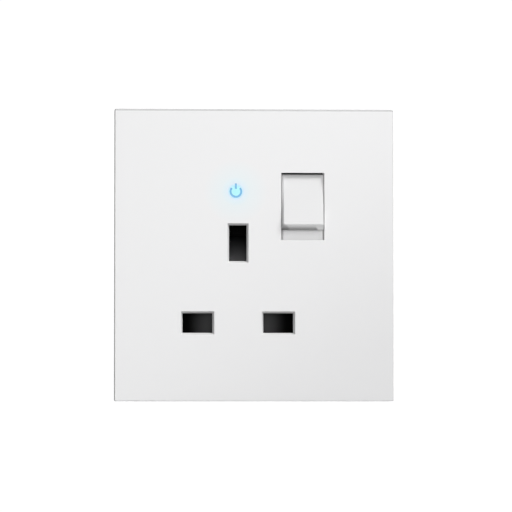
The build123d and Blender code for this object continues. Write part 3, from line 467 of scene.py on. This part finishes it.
# %% The halo in the plate's material
GLOW_STEPS_MM = (0.0, 1.3, 1.9, 2.2, 2.6, 3.3, 4.5, 10.0)
GLOW_TINT = ((0.38, 0.88, 0.86), (0.38, 0.88, 0.87), (0.44, 0.79, 0.89), (0.58, 0.79, 0.88),
             (0.73, 0.82, 0.87), (0.74, 0.84, 0.87), (0.79, 0.85, 0.86), WHITE)
GLOW_LIGHT = (0.10, 0.10, 0.09, 0.07, 0.05, 0.035, 0.015, 0.0)
GLOW_BLUE = (0.2, 0.5, 1.0)


def add_halo(material):
    tree = material.node_tree
    reach = GLOW_STEPS_MM[-1]
    far = maths(tree, "DIVIDE", distance_from_symbol(tree), reach)
    positions = [distance / reach for distance in GLOW_STEPS_MM]
    blues = [tuple(part * level for part in GLOW_BLUE) for level in GLOW_LIGHT]
    colour_skin(tree, colour_ramp(tree, far, list(zip(positions, GLOW_TINT))))
    shine(tree, colour_ramp(tree, far, list(zip(positions, blues))))


add_halo(plate_white)
print("halo:", len(GLOW_STEPS_MM), "steps over", GLOW_STEPS_MM[-1], "mm")

# %% [markdown]
# The plate's edges
#
# The photograph shows a fine grey line of shade along the plate's top and left edges, and a fainter
# one at the right; here it is painted shade. A separate strip of mesh would stand proud of the plate,
# so narrow bands by Object coordinates darken the colour there. Each is a soft step a few tenths of a
# millimetre wide, and it stays at the front: a second step along Y lets the plate's sides keep their
# white.
# %% Painted edge shade
EDGE_SOFTNESS = 0.08 * MM
EDGE_DEPTH = 0.35 * MM
EDGE_SHADE_BANDS = (("X", plate_low.x, 0.2 * MM, 0.5), ("Z", plate_high.z, -0.6 * MM, 0.72),
              ("X", plate_high.x, -0.3 * MM, 0.9))


def add_painted_edge_shade(material):
    """A band is an axis, the edge's place, a signed width and the level that the colour falls to."""
    tree = material.node_tree
    axes = object_axes(tree)
    depth = PLATE_FRONT + EDGE_DEPTH
    sides = step(tree, axes["Y"], depth - EDGE_SOFTNESS, depth + EDGE_SOFTNESS)
    colour = tree.nodes["skin"].inputs["Colour"].links[0].from_socket
    # Painted shade: each band darkens the colour along one front edge.
    for axis, edge, width, level in EDGE_SHADE_BANDS:
        outside = math.copysign(EDGE_SOFTNESS, width)
        band = step(tree, axes[axis], edge + width - outside, edge + width + outside, low=level)
        colour = scale_colour(tree, colour, maths(tree, "MAXIMUM", band, sides))
    colour_skin(tree, colour)


add_painted_edge_shade(plate_white)
print("edge bands:", len(EDGE_SHADE_BANDS))

# %% [markdown]
# Under the rocker's ridge
#
# The ledge under the ridge is a soft roll that turns downwards, and its two ends are rounded off. The
# roll could be cut into the mesh, but it is only a few tenths of a millimetre deep, so it is shading.
# The colour is painted shade that falls from the ridge to the foot of the ledge. Two bumps then tilt
# the surface, each only where its mask is one. The first turns the left corner outwards, where it is
# darker. The second turns the ridge's edge and the right corner back to the front, where they catch
# the light, and there the colour is also painted near white as a highlight.
# %% The ledge's painted shade
LEDGE_TOP = 9.43 * MM
LEDGE_FOOT = 7.8 * MM
LEDGE_SHADE_STEPS_MM = ((7.3, 0.97), (7.7, 0.97), (7.82, 0.36), (8.1, 0.42), (8.35, 0.58), (8.65, 0.80),
                  (8.95, 0.95), (9.45, 0.84))
BLUE_LEAN = 1.005


def ledge_shade(tree, height):
    """The painted shade by height, from the panel below the ledge to the face above it."""
    first = LEDGE_SHADE_STEPS_MM[0][0]
    last = LEDGE_SHADE_STEPS_MM[-1][0]
    share = add_node(tree, "ShaderNodeMapRange", From_Min=first * MM, From_Max=last * MM)
    join(tree, height, share.inputs["Value"])
    stops = [((level - first) / (last - first), (value, value, value * BLUE_LEAN))
             for level, value in LEDGE_SHADE_STEPS_MM]
    return colour_ramp(tree, share.outputs["Result"], stops)


print("ledge:", round((LEDGE_TOP - LEDGE_FOOT) / MM, 2), "mm high,", len(LEDGE_SHADE_STEPS_MM), "steps")

# %% Masks for the ledge's two corners
rocker_low, rocker_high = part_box("rocker")
STUB_LENGTH = 1.2 * MM
ROCKER_ENDS = {-1: rocker_low.x + STUB_LENGTH, 1: rocker_high.x - STUB_LENGTH}
CORNER_FADE = 1.0 * MM
CORNER_WIDTHS = {-1: (1.5 * MM, 3.0 * MM), 1: (3.2 * MM, 2.3 * MM)}


def corner_mask(tree, axes, side):
    """One in the corner at the ledge's left (-1) or right (1) end, and zero elsewhere.

    The corner has one width at the ridge and another at the ledge's foot.
    """
    top_width, foot_width = CORNER_WIDTHS[side]
    slope = (foot_width - top_width) / (LEDGE_FOOT - LEDGE_TOP)
    at_zero = top_width - slope * LEDGE_TOP - side * ROCKER_ENDS[side]
    width = maths(tree, "MULTIPLY_ADD", axes["Z"], slope, at_zero)
    inside = maths(tree, "MULTIPLY_ADD", axes["X"], float(side), width)
    return step(tree, inside, 0.0, CORNER_FADE)


print("rocker's width:", round((ROCKER_ENDS[1] - ROCKER_ENDS[-1]) / MM, 2), "mm")


# %% A bump that tilts
def add_tilt(tree, height, strength):
    """A bump ahead of the skin's own: the height's slope, where the strength is one."""
    tilt = add_node(tree, "ShaderNodeBump", Distance=1.0)
    join(tree, height, tilt.inputs["Height"])
    join(tree, strength, tilt.inputs["Strength"])
    normal = tree.nodes["bump"].inputs["Normal"]
    if normal.is_linked:
        join(tree, normal.links[0].from_socket, tilt.inputs["Normal"])
    join(tree, tilt.outputs["Normal"], normal)


# %% The ledge in the rocker's material
LEFT_TILT = 1.0
FRONT_TILT = 1.3
LEDGE_FADE = 0.02 * MM
RIDGE_START = 0.45 * MM
RIDGE_FULL = 0.3 * MM
RIDGE_PAINTED_HIGHLIGHT = (0.97, 0.97, 0.975)


def add_ledge(material):
    tree = material.node_tree
    axes = object_axes(tree)
    up = axes["Z"]
    below_ridge = step(tree, up, LEDGE_TOP + LEDGE_FADE, LEDGE_TOP - LEDGE_FADE)
    above_foot = step(tree, up, LEDGE_FOOT - LEDGE_FADE, LEDGE_FOOT + LEDGE_FADE)
    on_ledge = maths(tree, "MULTIPLY", below_ridge, above_foot)
    ridge_edge = step(tree, up, LEDGE_TOP - RIDGE_START, LEDGE_TOP - RIDGE_FULL)
    left = maths(tree, "MULTIPLY", corner_mask(tree, axes, -1), on_ledge)
    lit = maths(tree, "MAXIMUM", corner_mask(tree, axes, 1), ridge_edge)
    front = maths(tree, "MULTIPLY", lit, on_ledge)

    outwards = maths(tree, "MULTIPLY_ADD", axes["X"], LEFT_TILT, -LEFT_TILT * rocker_low.x)
    upwards = maths(tree, "MULTIPLY_ADD", up, -FRONT_TILT, FRONT_TILT * LEDGE_TOP)
    add_tilt(tree, outwards, left)
    add_tilt(tree, upwards, front)
    # Painted shade down the ledge, and a painted highlight on the ridge's edge and right corner.
    colour_skin(tree, mix_colours(tree, front, ledge_shade(tree, up), RIDGE_PAINTED_HIGHLIGHT))


add_ledge(rocker_white)
print("nodes in", rocker_white.name + ":", len(rocker_white.node_tree.nodes))

# %% [markdown]
# Beside the rocker
#
# The narrow gap at the rocker's right is a grey line in the photograph, because white walls throw the
# light to and fro in it. Many light bounces would show that, but a quick picture with few of them
# makes the gap nearly black. A faint glow stands in for that light, on the opening's right wall and
# on the frame behind it, above and below the part where the rocker stands out. The mask is a small
# box round that wall: a soft step at each end of the three axes.
# %% A mask between two values
BOX_FADE = 0.1 * MM


def between(tree, value, start, end):
    """One from the start value to the end value, and zero outside them."""
    after = step(tree, value, start - BOX_FADE, start)
    before = step(tree, value, end + BOX_FADE, end)
    return maths(tree, "MULTIPLY", after, before)


# %% Light in the rocker's gap
GAP_WIDTH = 0.3 * MM
GAP_WALL = ROCKER_ENDS[1] + GAP_WIDTH
GAP_ACROSS = (GAP_WALL - 0.1 * MM, GAP_WALL + 0.4 * MM)
GAP_DEPTH = (PLATE_FRONT + 0.4 * MM, PLATE_FRONT + 7.0 * MM)
GAP_HEIGHT = (rocker_low.z + 0.3 * MM, rocker_high.z + 0.4 * MM)
GAP_UPPER = (15.0 * MM, 20.0 * MM)
GAP_LOWER = (LEDGE_FOOT + 0.4 * MM, LEDGE_FOOT - 0.4 * MM)
GAP_LIGHT = 0.16


def add_gap_light(material):
    tree = material.node_tree
    axes = object_axes(tree)
    mask = maths(tree, "ADD", step(tree, axes["Z"], *GAP_UPPER), step(tree, axes["Z"], *GAP_LOWER))
    for axis, limits in (("X", GAP_ACROSS), ("Y", GAP_DEPTH), ("Z", GAP_HEIGHT)):
        mask = maths(tree, "MULTIPLY", mask, between(tree, axes[axis], *limits))
    added = add_node(tree, "ShaderNodeVectorMath", operation="ADD")
    join(tree, maths(tree, "MULTIPLY", mask, GAP_LIGHT), added.inputs[0])
    emission = tree.nodes["Principled BSDF"].inputs["Emission Color"]
    if emission.is_linked:
        join(tree, emission.links[0].from_socket, added.inputs[1])
    shine(tree, added.outputs[0])


for material in (plate_white, frame_white):
    add_gap_light(material)
    print("gap light in:", material.name)

# %% [markdown]
# The glowing light guide
#
# The guide is clear plastic that carries the lamp's light to the face, where it looks a fuller blue
# than the plastic round it. Glass with a lamp behind it would be noisy at this size. Emission gives
# the same even glow at once, and a soft noise between two blues keeps it from being flat.
# %% Light guide material
GUIDE_BLUE = (0.075, 0.32, 0.55)
GUIDE_GLOW = ((0.015, 0.08, 0.17), (0.035, 0.12, 0.22))
SPECKLE_SCALE = 900.0


def lit_guide_material():
    material = plastic("lit guide", GUIDE_BLUE, 0.2, 0.01)
    tree = material.node_tree
    speckle = add_node(tree, "ShaderNodeTexNoise", Scale=SPECKLE_SCALE, Detail=1.0)
    shine(tree, mix_colours(tree, speckle.outputs["Fac"], *GUIDE_GLOW))
    return material


guide_lit = lit_guide_material()
print("light guide:", guide_lit.name)

# %% [markdown]
# The circuit board
#
# The board stays hidden behind the plate, but a look inside should find it finished. It is green
# solder mask with a faint glass-fibre weave. A picture of a board could be laid over it. A diagonal
# wave texture between two greens is enough for a piece this small, and it stays sharp.
# %% Board material
MASK_GREEN = (0.01, 0.09, 0.035)
WEAVE_GREENS = ((0.008, 0.08, 0.03), (0.014, 0.11, 0.045))
WEAVE_SCALE = 500.0


def board_material():
    material = plastic("solder mask", MASK_GREEN, 0.35, 0.02)
    tree = material.node_tree
    weave = add_node(tree, "ShaderNodeTexWave", Scale=WEAVE_SCALE, bands_direction="DIAGONAL")
    join(tree, object_place(tree), weave.inputs["Vector"])
    colour_skin(tree, mix_colours(tree, weave.outputs["Fac"], *WEAVE_GREENS))
    return material


solder_mask = board_material()
print("board:", solder_mask.name)

# %% [markdown]
# The resistor and the lamp
#
# A resistor carries four colour rings round a tan body. Rings could be separate bands of mesh, but
# they are only printed on, so a colour ramp along the piece's own length draws them. The ramp jumps
# from one colour to the next without blending. The lamp beside it is a plain glossy lens.
# %% Ringed resistor material
BODY_TAN = (0.45, 0.32, 0.16)
RING_WIDTH = 0.08
RINGS = ((0.22, (0.25, 0.08, 0.02)), (0.40, (0.02, 0.02, 0.02)), (0.58, (0.7, 0.2, 0.02)),
         (0.78, (0.5, 0.36, 0.08)))


def resistor_material():
    material = plastic("ringed resistor", BODY_TAN, 0.3, 0.01)
    tree = material.node_tree
    low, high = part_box("indicator_resistor")
    along = add_node(tree, "ShaderNodeMapRange", From_Min=low.z, From_Max=high.z)
    join(tree, object_axes(tree)["Z"], along.inputs["Value"])
    stops = [(0.0, BODY_TAN)]
    for position, colour in RINGS:
        stops += [(position, colour), (position + RING_WIDTH, BODY_TAN)]
    colour_skin(tree, colour_ramp(tree, along.outputs["Result"], stops, interpolation="CONSTANT"))
    return material


resistor_rings = resistor_material()
lamp_lens = plastic("lamp lens", (0.45, 0.7, 0.9), 0.12, 0.005)
print("rings:", len(RINGS))

# %% [markdown]
# Give every node its finish
#
# On the real socket every piece has its own material. A name table says which, and each node that is
# not in it is a plated screw. Assigning a material doesn't move or change a CAD object. Shade Smooth
# would round the crisp moulded edges, so the meshes keep the shading that they came with.
# %% Assign materials
FINISH = {
    "front_plate": plate_white,
    "light_guide": guide_lit,
    "support_frame": frame_white,
    "back_housing": housing_black,
    "shutter": shutter_black,
    "shutter_spring": spring_wire,
    "rocker": rocker_white,
    "rocker_plunger": plunger_natural,
    "rocker_spring": spring_wire,
    "moving_contact": brass_strip,
    "contact_saddle": brass_strip,
    "fixed_contact": brass_strip,
    "live_contact": brass_strip,
    "neutral_contact": brass_strip,
    "earth_contact": brass_strip,
    "earth_strap": brass_strip,
    "moving_tip": silver_face,
    "fixed_tip": silver_face,
    "live_terminal": brass_block,
    "neutral_terminal": brass_block,
    "earth_left_terminal": brass_block,
    "earth_right_terminal": brass_block,
    "indicator_board": solder_mask,
    "indicator_lamp": lamp_lens,
    "indicator_resistor": resistor_rings,
    "indicator_diode": diode_black,
    "indicator_live_lead": sleeve_brown,
    "indicator_neutral_lead": sleeve_blue,
}

for name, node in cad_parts.items():
    node.data.materials.clear()
    node.data.materials.append(FINISH.get(name, zinc_plate))
print("finishes:", len(set(m.name for m in FINISH.values())) + 1)

# %% [markdown]
# Screws with threads
#
# The CAD screws are plain rods. A real machine screw shows its thread from the back. A bump could
# fake it, but the rod's outline would stay smooth, so each screw is rebuilt. A bmesh is filled by
# operators and then becomes an object that rides on a body of the frame.
# %% Mesh helpers
def new_object(name, mesh_data, material, body):
    mesh = bpy.data.meshes.new(name)
    bmesh.ops.recalc_face_normals(mesh_data, faces=mesh_data.faces[:])
    mesh_data.to_mesh(mesh)
    mesh_data.free()
    mesh.materials.append(material)
    piece = bpy.data.objects.new(name, mesh)
    bpy.context.collection.objects.link(piece)
    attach(piece, body)
    return piece


def add_cylinder(mesh_data, start, end, radius, segments):
    """A closed cylinder along Z, from the start to the end."""
    made = bmesh.ops.create_cone(mesh_data, cap_ends=True, segments=segments, radius1=radius,
                                 radius2=radius, depth=end - start)
    bmesh.ops.translate(mesh_data, verts=made["verts"], vec=(0, 0, (start + end) / 2))
    return made["verts"]


# %% [markdown]
# The thread
#
# A thread is one ridge that winds round a core. It could come from the screw modifier, which needs an
# object of its own for each thread. The bmesh spin operator makes it in one call: it spins the ridge
# profile round the axis, and a shift along the axis lets the profile rise as it turns.
# %% Threaded rod
THREAD_STEPS = 20
RIDGE_SINK = 0.9


def add_thread(mesh_data, start, end, outer, depth, pitch):
    """A closed threaded rod along Z: a helical ridge whose inner edge is sunk in the core."""
    turns = (end - start) / pitch - 1
    core = outer - depth
    inner = RIDGE_SINK * core
    corners = [(inner, 0), (core, 0), (outer, 0.5 * pitch), (core, pitch), (inner, pitch)]
    ridge = [mesh_data.verts.new((x, 0, start + z)) for x, z in corners]
    edges = [mesh_data.edges.new(ends) for ends in zip(ridge, ridge[1:])]
    steps = max(3, round(turns * THREAD_STEPS))
    bmesh.ops.spin(mesh_data, geom=ridge + edges, cent=(0, 0, 0), axis=(0, 0, 1),
                   dvec=(0, 0, turns * pitch / steps), angle=turns * math.tau, steps=steps,
                   use_merge=False)
    add_cylinder(mesh_data, start, end, core, THREAD_STEPS)


# %% [markdown]
# The head
#
# The screw's head is a low dome with a straight slot for the driver. A boolean could cut the slot,
# but it leaves untidy faces. The dome is a cylinder with its rim bevelled. Two cuts across the
# cylinder mark the slot's walls, and the strip of faces between them is pushed down as its floor.
# %% The dome
HEAD_SEGMENTS = 48
HEAD_ROUND = 0.45
HEAD_ROUND_STEPS = 5
RIM_LEVEL = 0.99


def add_dome(mesh_data, radius, height):
    """A cylinder from Z = 0 down to -height, with a bevelled rim at its lower end."""
    verts = add_cylinder(mesh_data, -height, 0, radius, HEAD_SEGMENTS)
    rim = [edge for edge in {e for v in verts for e in v.link_edges}
           if all(v.co.z < -RIM_LEVEL * height for v in edge.verts)]
    bmesh.ops.bevel(mesh_data, geom=rim, offset=HEAD_ROUND * height, segments=HEAD_ROUND_STEPS,
                    profile=0.5, affect="EDGES", material=-1)


# %% The slot
FLOOR_LEVEL = 0.9
FACES_DOWN = -0.5


def cut_slot(mesh_data, height, width, depth):
    """A slot along X in the dome's lower face."""
    for side in (-1, 1):
        everything = mesh_data.verts[:] + mesh_data.edges[:] + mesh_data.faces[:]
        bmesh.ops.bisect_plane(mesh_data, geom=everything, plane_co=(0, side * width / 2, 0),
                               plane_no=(0, 1, 0))
    strip = [face for face in mesh_data.faces
             if face.normal.z < FACES_DOWN and abs(face.calc_center_median().y) < width / 2
             and face.calc_center_median().z < -FLOOR_LEVEL * height]
    sunk = bmesh.ops.extrude_face_region(mesh_data, geom=strip)
    bmesh.ops.delete(mesh_data, geom=strip, context="FACES")
    verts = [item for item in sunk["geom"] if isinstance(item, bmesh.types.BMVert)]
    for vert in verts:
        vert.co.z = -height + depth


# %% The two fixing screws
screw_low, screw_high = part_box("box_screws")
HEAD_RADIUS = (screw_high.z - screw_low.z) / 2
HEAD_HEIGHT = 2.1 * MM
SLOT_WIDTH = 0.8 * MM
SLOT_DEPTH = 1.1 * MM
SHANK_RADIUS = 1.75 * MM
SHANK_LENGTH = screw_high.y - screw_low.y - HEAD_HEIGHT
TIP_GAP = 0.02 * MM
NECK_RADIUS = 1.5 * MM
NECK_LENGTH = 2.45 * MM
NECK_OVERLAP = 0.1 * MM
THREAD_PITCH = 0.6 * MM
THREAD_DEPTH = 0.33 * MM
SCREW_X = (screw_high.x - screw_low.x) / 2 - HEAD_RADIUS

for side, label in ((-1, "left"), (1, "right")):
    data = bmesh.new()
    add_dome(data, HEAD_RADIUS, HEAD_HEIGHT)
    cut_slot(data, HEAD_HEIGHT, SLOT_WIDTH, SLOT_DEPTH)
    add_cylinder(data, -NECK_OVERLAP, NECK_LENGTH + NECK_OVERLAP, NECK_RADIUS, THREAD_STEPS)
    add_thread(data, NECK_LENGTH, SHANK_LENGTH - TIP_GAP, SHANK_RADIUS, THREAD_DEPTH, THREAD_PITCH)
    seat = Matrix.Translation((side * SCREW_X, screw_low.y + HEAD_HEIGHT, 0))
    from_z_to_y = Matrix.Rotation(-math.pi / 2, 4, "X")
    bmesh.ops.transform(data, matrix=seat @ from_z_to_y, verts=data.verts[:])
    screw = new_object(f"box_screw_{label}", data, zinc_plate, "socket")
    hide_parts("box_screws")
    print(screw.name, "faces:", len(screw.data.polygons))

# %% [markdown]
# Copies of the coil springs
#
# A real coil gets shorter as the shutter or the plunger presses on it. The CAD coils are rigid, so
# both would run into them. Here each coil is copied, with its doubled points merged, into an object
# of its own that rides on its body, and the CAD coil is hidden.
# %% The two coil springs
MERGE_DISTANCE = 0.001 * MM
SPRINGS = {
    "shutter_spring": ("socket", "shutter_slide", 8.4 * MM, Vector((0, 0, -1))),
    "rocker_spring": ("rocker_key", "plunger_slide", 1.0 * MM, Vector((0, -0.9961947, 0.0871557))),
}

for name, (body, joint, travel, way) in SPRINGS.items():
    data = bmesh.new()
    data.from_mesh(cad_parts[name].data)
    bmesh.ops.remove_doubles(data, verts=data.verts[:], dist=MERGE_DISTANCE)
    spring = new_object(f"{name}_coil", data, spring_wire, body)
    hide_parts(name)
    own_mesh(spring)

# %% [markdown]
# Marks on the back
#
# Terminals on such a socket are marked L for live, N for neutral and E for earth. The letters could
# be outlines drawn point by point. Blender's own text is quicker and better shaped, so each letter is
# a text object made into a mesh and laid on the back wall beside its screw hole. It stands only a
# fraction of a millimetre, like a printed letter, in a pale grey that shows on the dark housing.
# %% One letter
HOUSING_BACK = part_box("back_housing")[1].y
LETTER_SIZE = 4.2 * MM
LETTER_HEIGHT = 0.2 * MM
LETTER_RAISE = 0.3 * LETTER_HEIGHT


def back_letter(name, text, x, z):
    curve = bpy.data.curves.new(name, "FONT")
    curve.body = text
    curve.size = LETTER_SIZE
    curve.extrude = LETTER_HEIGHT / 2
    curve.align_x = "CENTER"
    curve.align_y = "CENTER"
    carrier = bpy.data.objects.new(name + "_text", curve)
    bpy.context.collection.objects.link(carrier)
    bpy.context.view_layer.update()
    data = bmesh.new()
    data.from_mesh(bpy.data.meshes.new_from_object(carrier))
    bpy.data.objects.remove(carrier)
    place = Matrix.Translation((x, HOUSING_BACK + LETTER_RAISE, z))
    place = place @ Matrix.Rotation(math.pi, 4, "Z") @ Matrix.Rotation(math.pi / 2, 4, "X")
    bmesh.ops.remove_doubles(data, verts=data.verts[:], dist=MERGE_DISTANCE)
    bmesh.ops.transform(data, matrix=place, verts=data.verts[:])
    return new_object(name, data, letter_grey, "socket")


# %% Terminal letters
LETTER_GAP = 5.4 * MM
TERMINAL_LETTERS = {
    "live": ("L", 1), "neutral": ("N", 1), "earth_left": ("E", -1), "earth_right": ("E", -1),
}

for terminal, (text, direction) in TERMINAL_LETTERS.items():
    low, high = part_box(f"{terminal}_terminal_screw")
    x = (low.x + high.x) / 2
    z = (low.z + high.z) / 2 + direction * LETTER_GAP
    letter = back_letter(f"{terminal}_letter", text, x, z)
    print(letter.name, "at", round(x / MM, 1), round(z / MM, 1), "mm")

# %% [markdown]
# The surrounding light
#
# The photograph shows a bright, even light with a gentle direction: faces that look up and to the
# right are a little brighter than those that look down and to the left. A photographed sky could
# light the scene. A white world that grows brighter towards one side is simpler to steer. Behind the
# plate the world is brighter too, as a white backdrop is, and that light catches the plate's outer
# edges only. For the camera it is brighter still, so the background is clean white while the plate
# keeps its soft grey.
# %% An empty world
world = bpy.data.worlds.new("studio")
bpy.context.scene.world = world
world.use_nodes = True
sky = world.node_tree
for node in list(sky.nodes):
    sky.nodes.remove(node)
print("world:", world.name, "with", len(sky.nodes), "nodes")

# %% Brightness by direction
SURROUND = 0.285
LEAN = 0.285
BRIGHT_SIDE = Vector((0.7, -0.35, 0.65)).normalized()
BACKDROP = 0.6
BACKDROP_START = 0.05
BACKDROP_FULL = 0.4

view = add_node(sky, "ShaderNodeTexCoord").outputs["Generated"]
towards = add_node(sky, "ShaderNodeVectorMath", operation="DOT_PRODUCT")
towards.inputs[1].default_value = BRIGHT_SIDE
join(sky, view, towards.inputs[0])
graded = maths(sky, "MULTIPLY_ADD", towards.outputs["Value"], LEAN, SURROUND)

sides = add_node(sky, "ShaderNodeSeparateXYZ")
join(sky, view, sides.inputs["Vector"])
behind = step(sky, sides.outputs["Y"], BACKDROP_START, BACKDROP_FULL, high=BACKDROP)
around = maths(sky, "ADD", graded, behind)
print("brightness in front:", round(SURROUND - LEAN, 3), "to", round(SURROUND + LEAN, 3))

# %% White for the camera
CAMERA_WHITE = 1.05

path = add_node(sky, "ShaderNodeLightPath")
level = mix_values(sky, path.outputs["Is Camera Ray"], around, CAMERA_WHITE)
background = add_node(sky, "ShaderNodeBackground", Color=(1, 1, 1, 1))
output = add_node(sky, "ShaderNodeOutputWorld")
join(sky, level, background.inputs["Strength"])
join(sky, background.outputs[0], output.inputs["Surface"])
print("world nodes:", len(sky.nodes))

# %% [markdown]
# Three soft lamps
#
# In a studio, large soft boxes stand round a small white object. The key lamp is high at the front
# right and gives the direction. A tall sheet of light straight in front is mirrored in the glossy
# plate. It is turned by 45 degrees, so its sheen fades towards the lower right as in the photograph.
# A weak lamp from below lifts the faces that look down. Sun or point lamps would throw hard shadows,
# so all three are area lights.
# %% Lamps
SHEEN_TURN = -45.0


def soft_light(name, place, target, width, height, power):
    lamp = bpy.data.lights.new(name, "AREA")
    lamp.shape = "RECTANGLE"
    lamp.size = width
    lamp.size_y = height
    lamp.energy = power
    holder = bpy.data.objects.new(name, lamp)
    holder.location = place
    holder.rotation_euler = (Vector(target) - Vector(place)).to_track_quat("-Z", "Y").to_euler()
    bpy.context.collection.objects.link(holder)
    print(name, "lamp:", power, "W")
    return holder


soft_light("key", place=(0.52, -0.43, 0.76), target=(0, 0, 0.01), width=0.3, height=0.3, power=6.6)
sheen = soft_light("sheen", place=(0.002, -1.2, 0.112), target=(0, 0, 0),
                   width=0.3, height=0.9, power=3.8)
sheen.rotation_euler.rotate_axis("Z", math.radians(SHEEN_TURN))
soft_light("lift", place=(0, 0.25, -0.9), target=(0, 0, 0), width=0.5, height=0.3, power=3.5)

# %% [markdown]
# Floor
#
# A socket hangs on a wall, well above the floor. A floor right under it would throw light on the
# faces that look down, and those are grey in the photograph. So the pale floor lies 1.3 metres below,
# where it gives almost no light back. A box could stand for it, but only its top would ever show, so
# it is a flat grid, which one operator makes. It counts as stage, not as a piece.
# %% Pale floor
FLOOR_DROP = 1.3
FLOOR_HALF = 0.5
FLOOR_PALE = (0.86, 0.86, 0.86)

floor_data = bmesh.new()
bmesh.ops.create_grid(floor_data, x_segments=2, y_segments=2, size=FLOOR_HALF)
floor_mesh = bpy.data.meshes.new("floor")
floor_data.to_mesh(floor_mesh)
floor_data.free()
floor = bpy.data.objects.new("floor", floor_mesh)
floor.location = (0, 0, -FLOOR_DROP)
floor_mesh.materials.append(plastic("floor paint", FLOOR_PALE, 0.7, 0.01))
bpy.context.collection.objects.link(floor)
print("floor:", round(floor.dimensions.x, 2), "m wide,", FLOOR_DROP, "m below")

# %% [markdown]
# Camera
#
# The photograph looks almost straight at the plate, from a little to the left and below, so that the
# upper and right walls of the openings show. An orthographic camera would keep the plate's edges
# parallel. A very long lens does so too, and it is one that a photographer could use. The plate is
# 279.5 pixels wide in a picture of 512, so the camera's distance follows from the lens. The lens
# shift slides the picture to its place, where turning the camera would tilt the plate.
# %% Distance and direction
IMAGE_SIZE = 512
PLATE_LEFT_PX = 114.0
PLATE_RIGHT_PX = 393.5
PLATE_TOP_PX = 109.0
PLATE_BOTTOM_PX = 402.4
LENS = 250.0
SENSOR = 36.0
AZIMUTH = math.radians(-3.0)
ELEVATION = math.radians(-2.5)

scale = (PLATE_RIGHT_PX - PLATE_LEFT_PX) / PLATE_WIDTH
distance = LENS / SENSOR * IMAGE_SIZE / scale
middle = Vector((PLATE_CENTRE.x, PLATE_FRONT, PLATE_CENTRE.z))
direction = Vector((math.sin(AZIMUTH) * math.cos(ELEVATION),
                    -math.cos(AZIMUTH) * math.cos(ELEVATION), math.sin(ELEVATION)))
print("camera distance:", round(distance, 3), "m")

# %% The camera itself
RAISE_PX = 0.7
ASIDE_PX = 0.5
FAR_CLIP = 10

camera_data = bpy.data.cameras.new("camera")
camera_data.lens = LENS
camera_data.sensor_width = SENSOR
camera_data.clip_end = FAR_CLIP
camera_data.shift_x = (IMAGE_SIZE / 2 - (PLATE_LEFT_PX + PLATE_RIGHT_PX) / 2 - ASIDE_PX) / IMAGE_SIZE
camera_data.shift_y = ((PLATE_TOP_PX + PLATE_BOTTOM_PX) / 2 - RAISE_PX - IMAGE_SIZE / 2) / IMAGE_SIZE
camera = bpy.data.objects.new("camera", camera_data)
camera.location = middle + distance * direction
camera.rotation_euler = (-direction).to_track_quat("-Z", "Y").to_euler()
bpy.context.collection.objects.link(camera)
bpy.context.scene.camera = camera
bpy.context.scene.view_settings.view_transform = "Standard"
print("shift:", round(camera_data.shift_x, 4), round(camera_data.shift_y, 4))
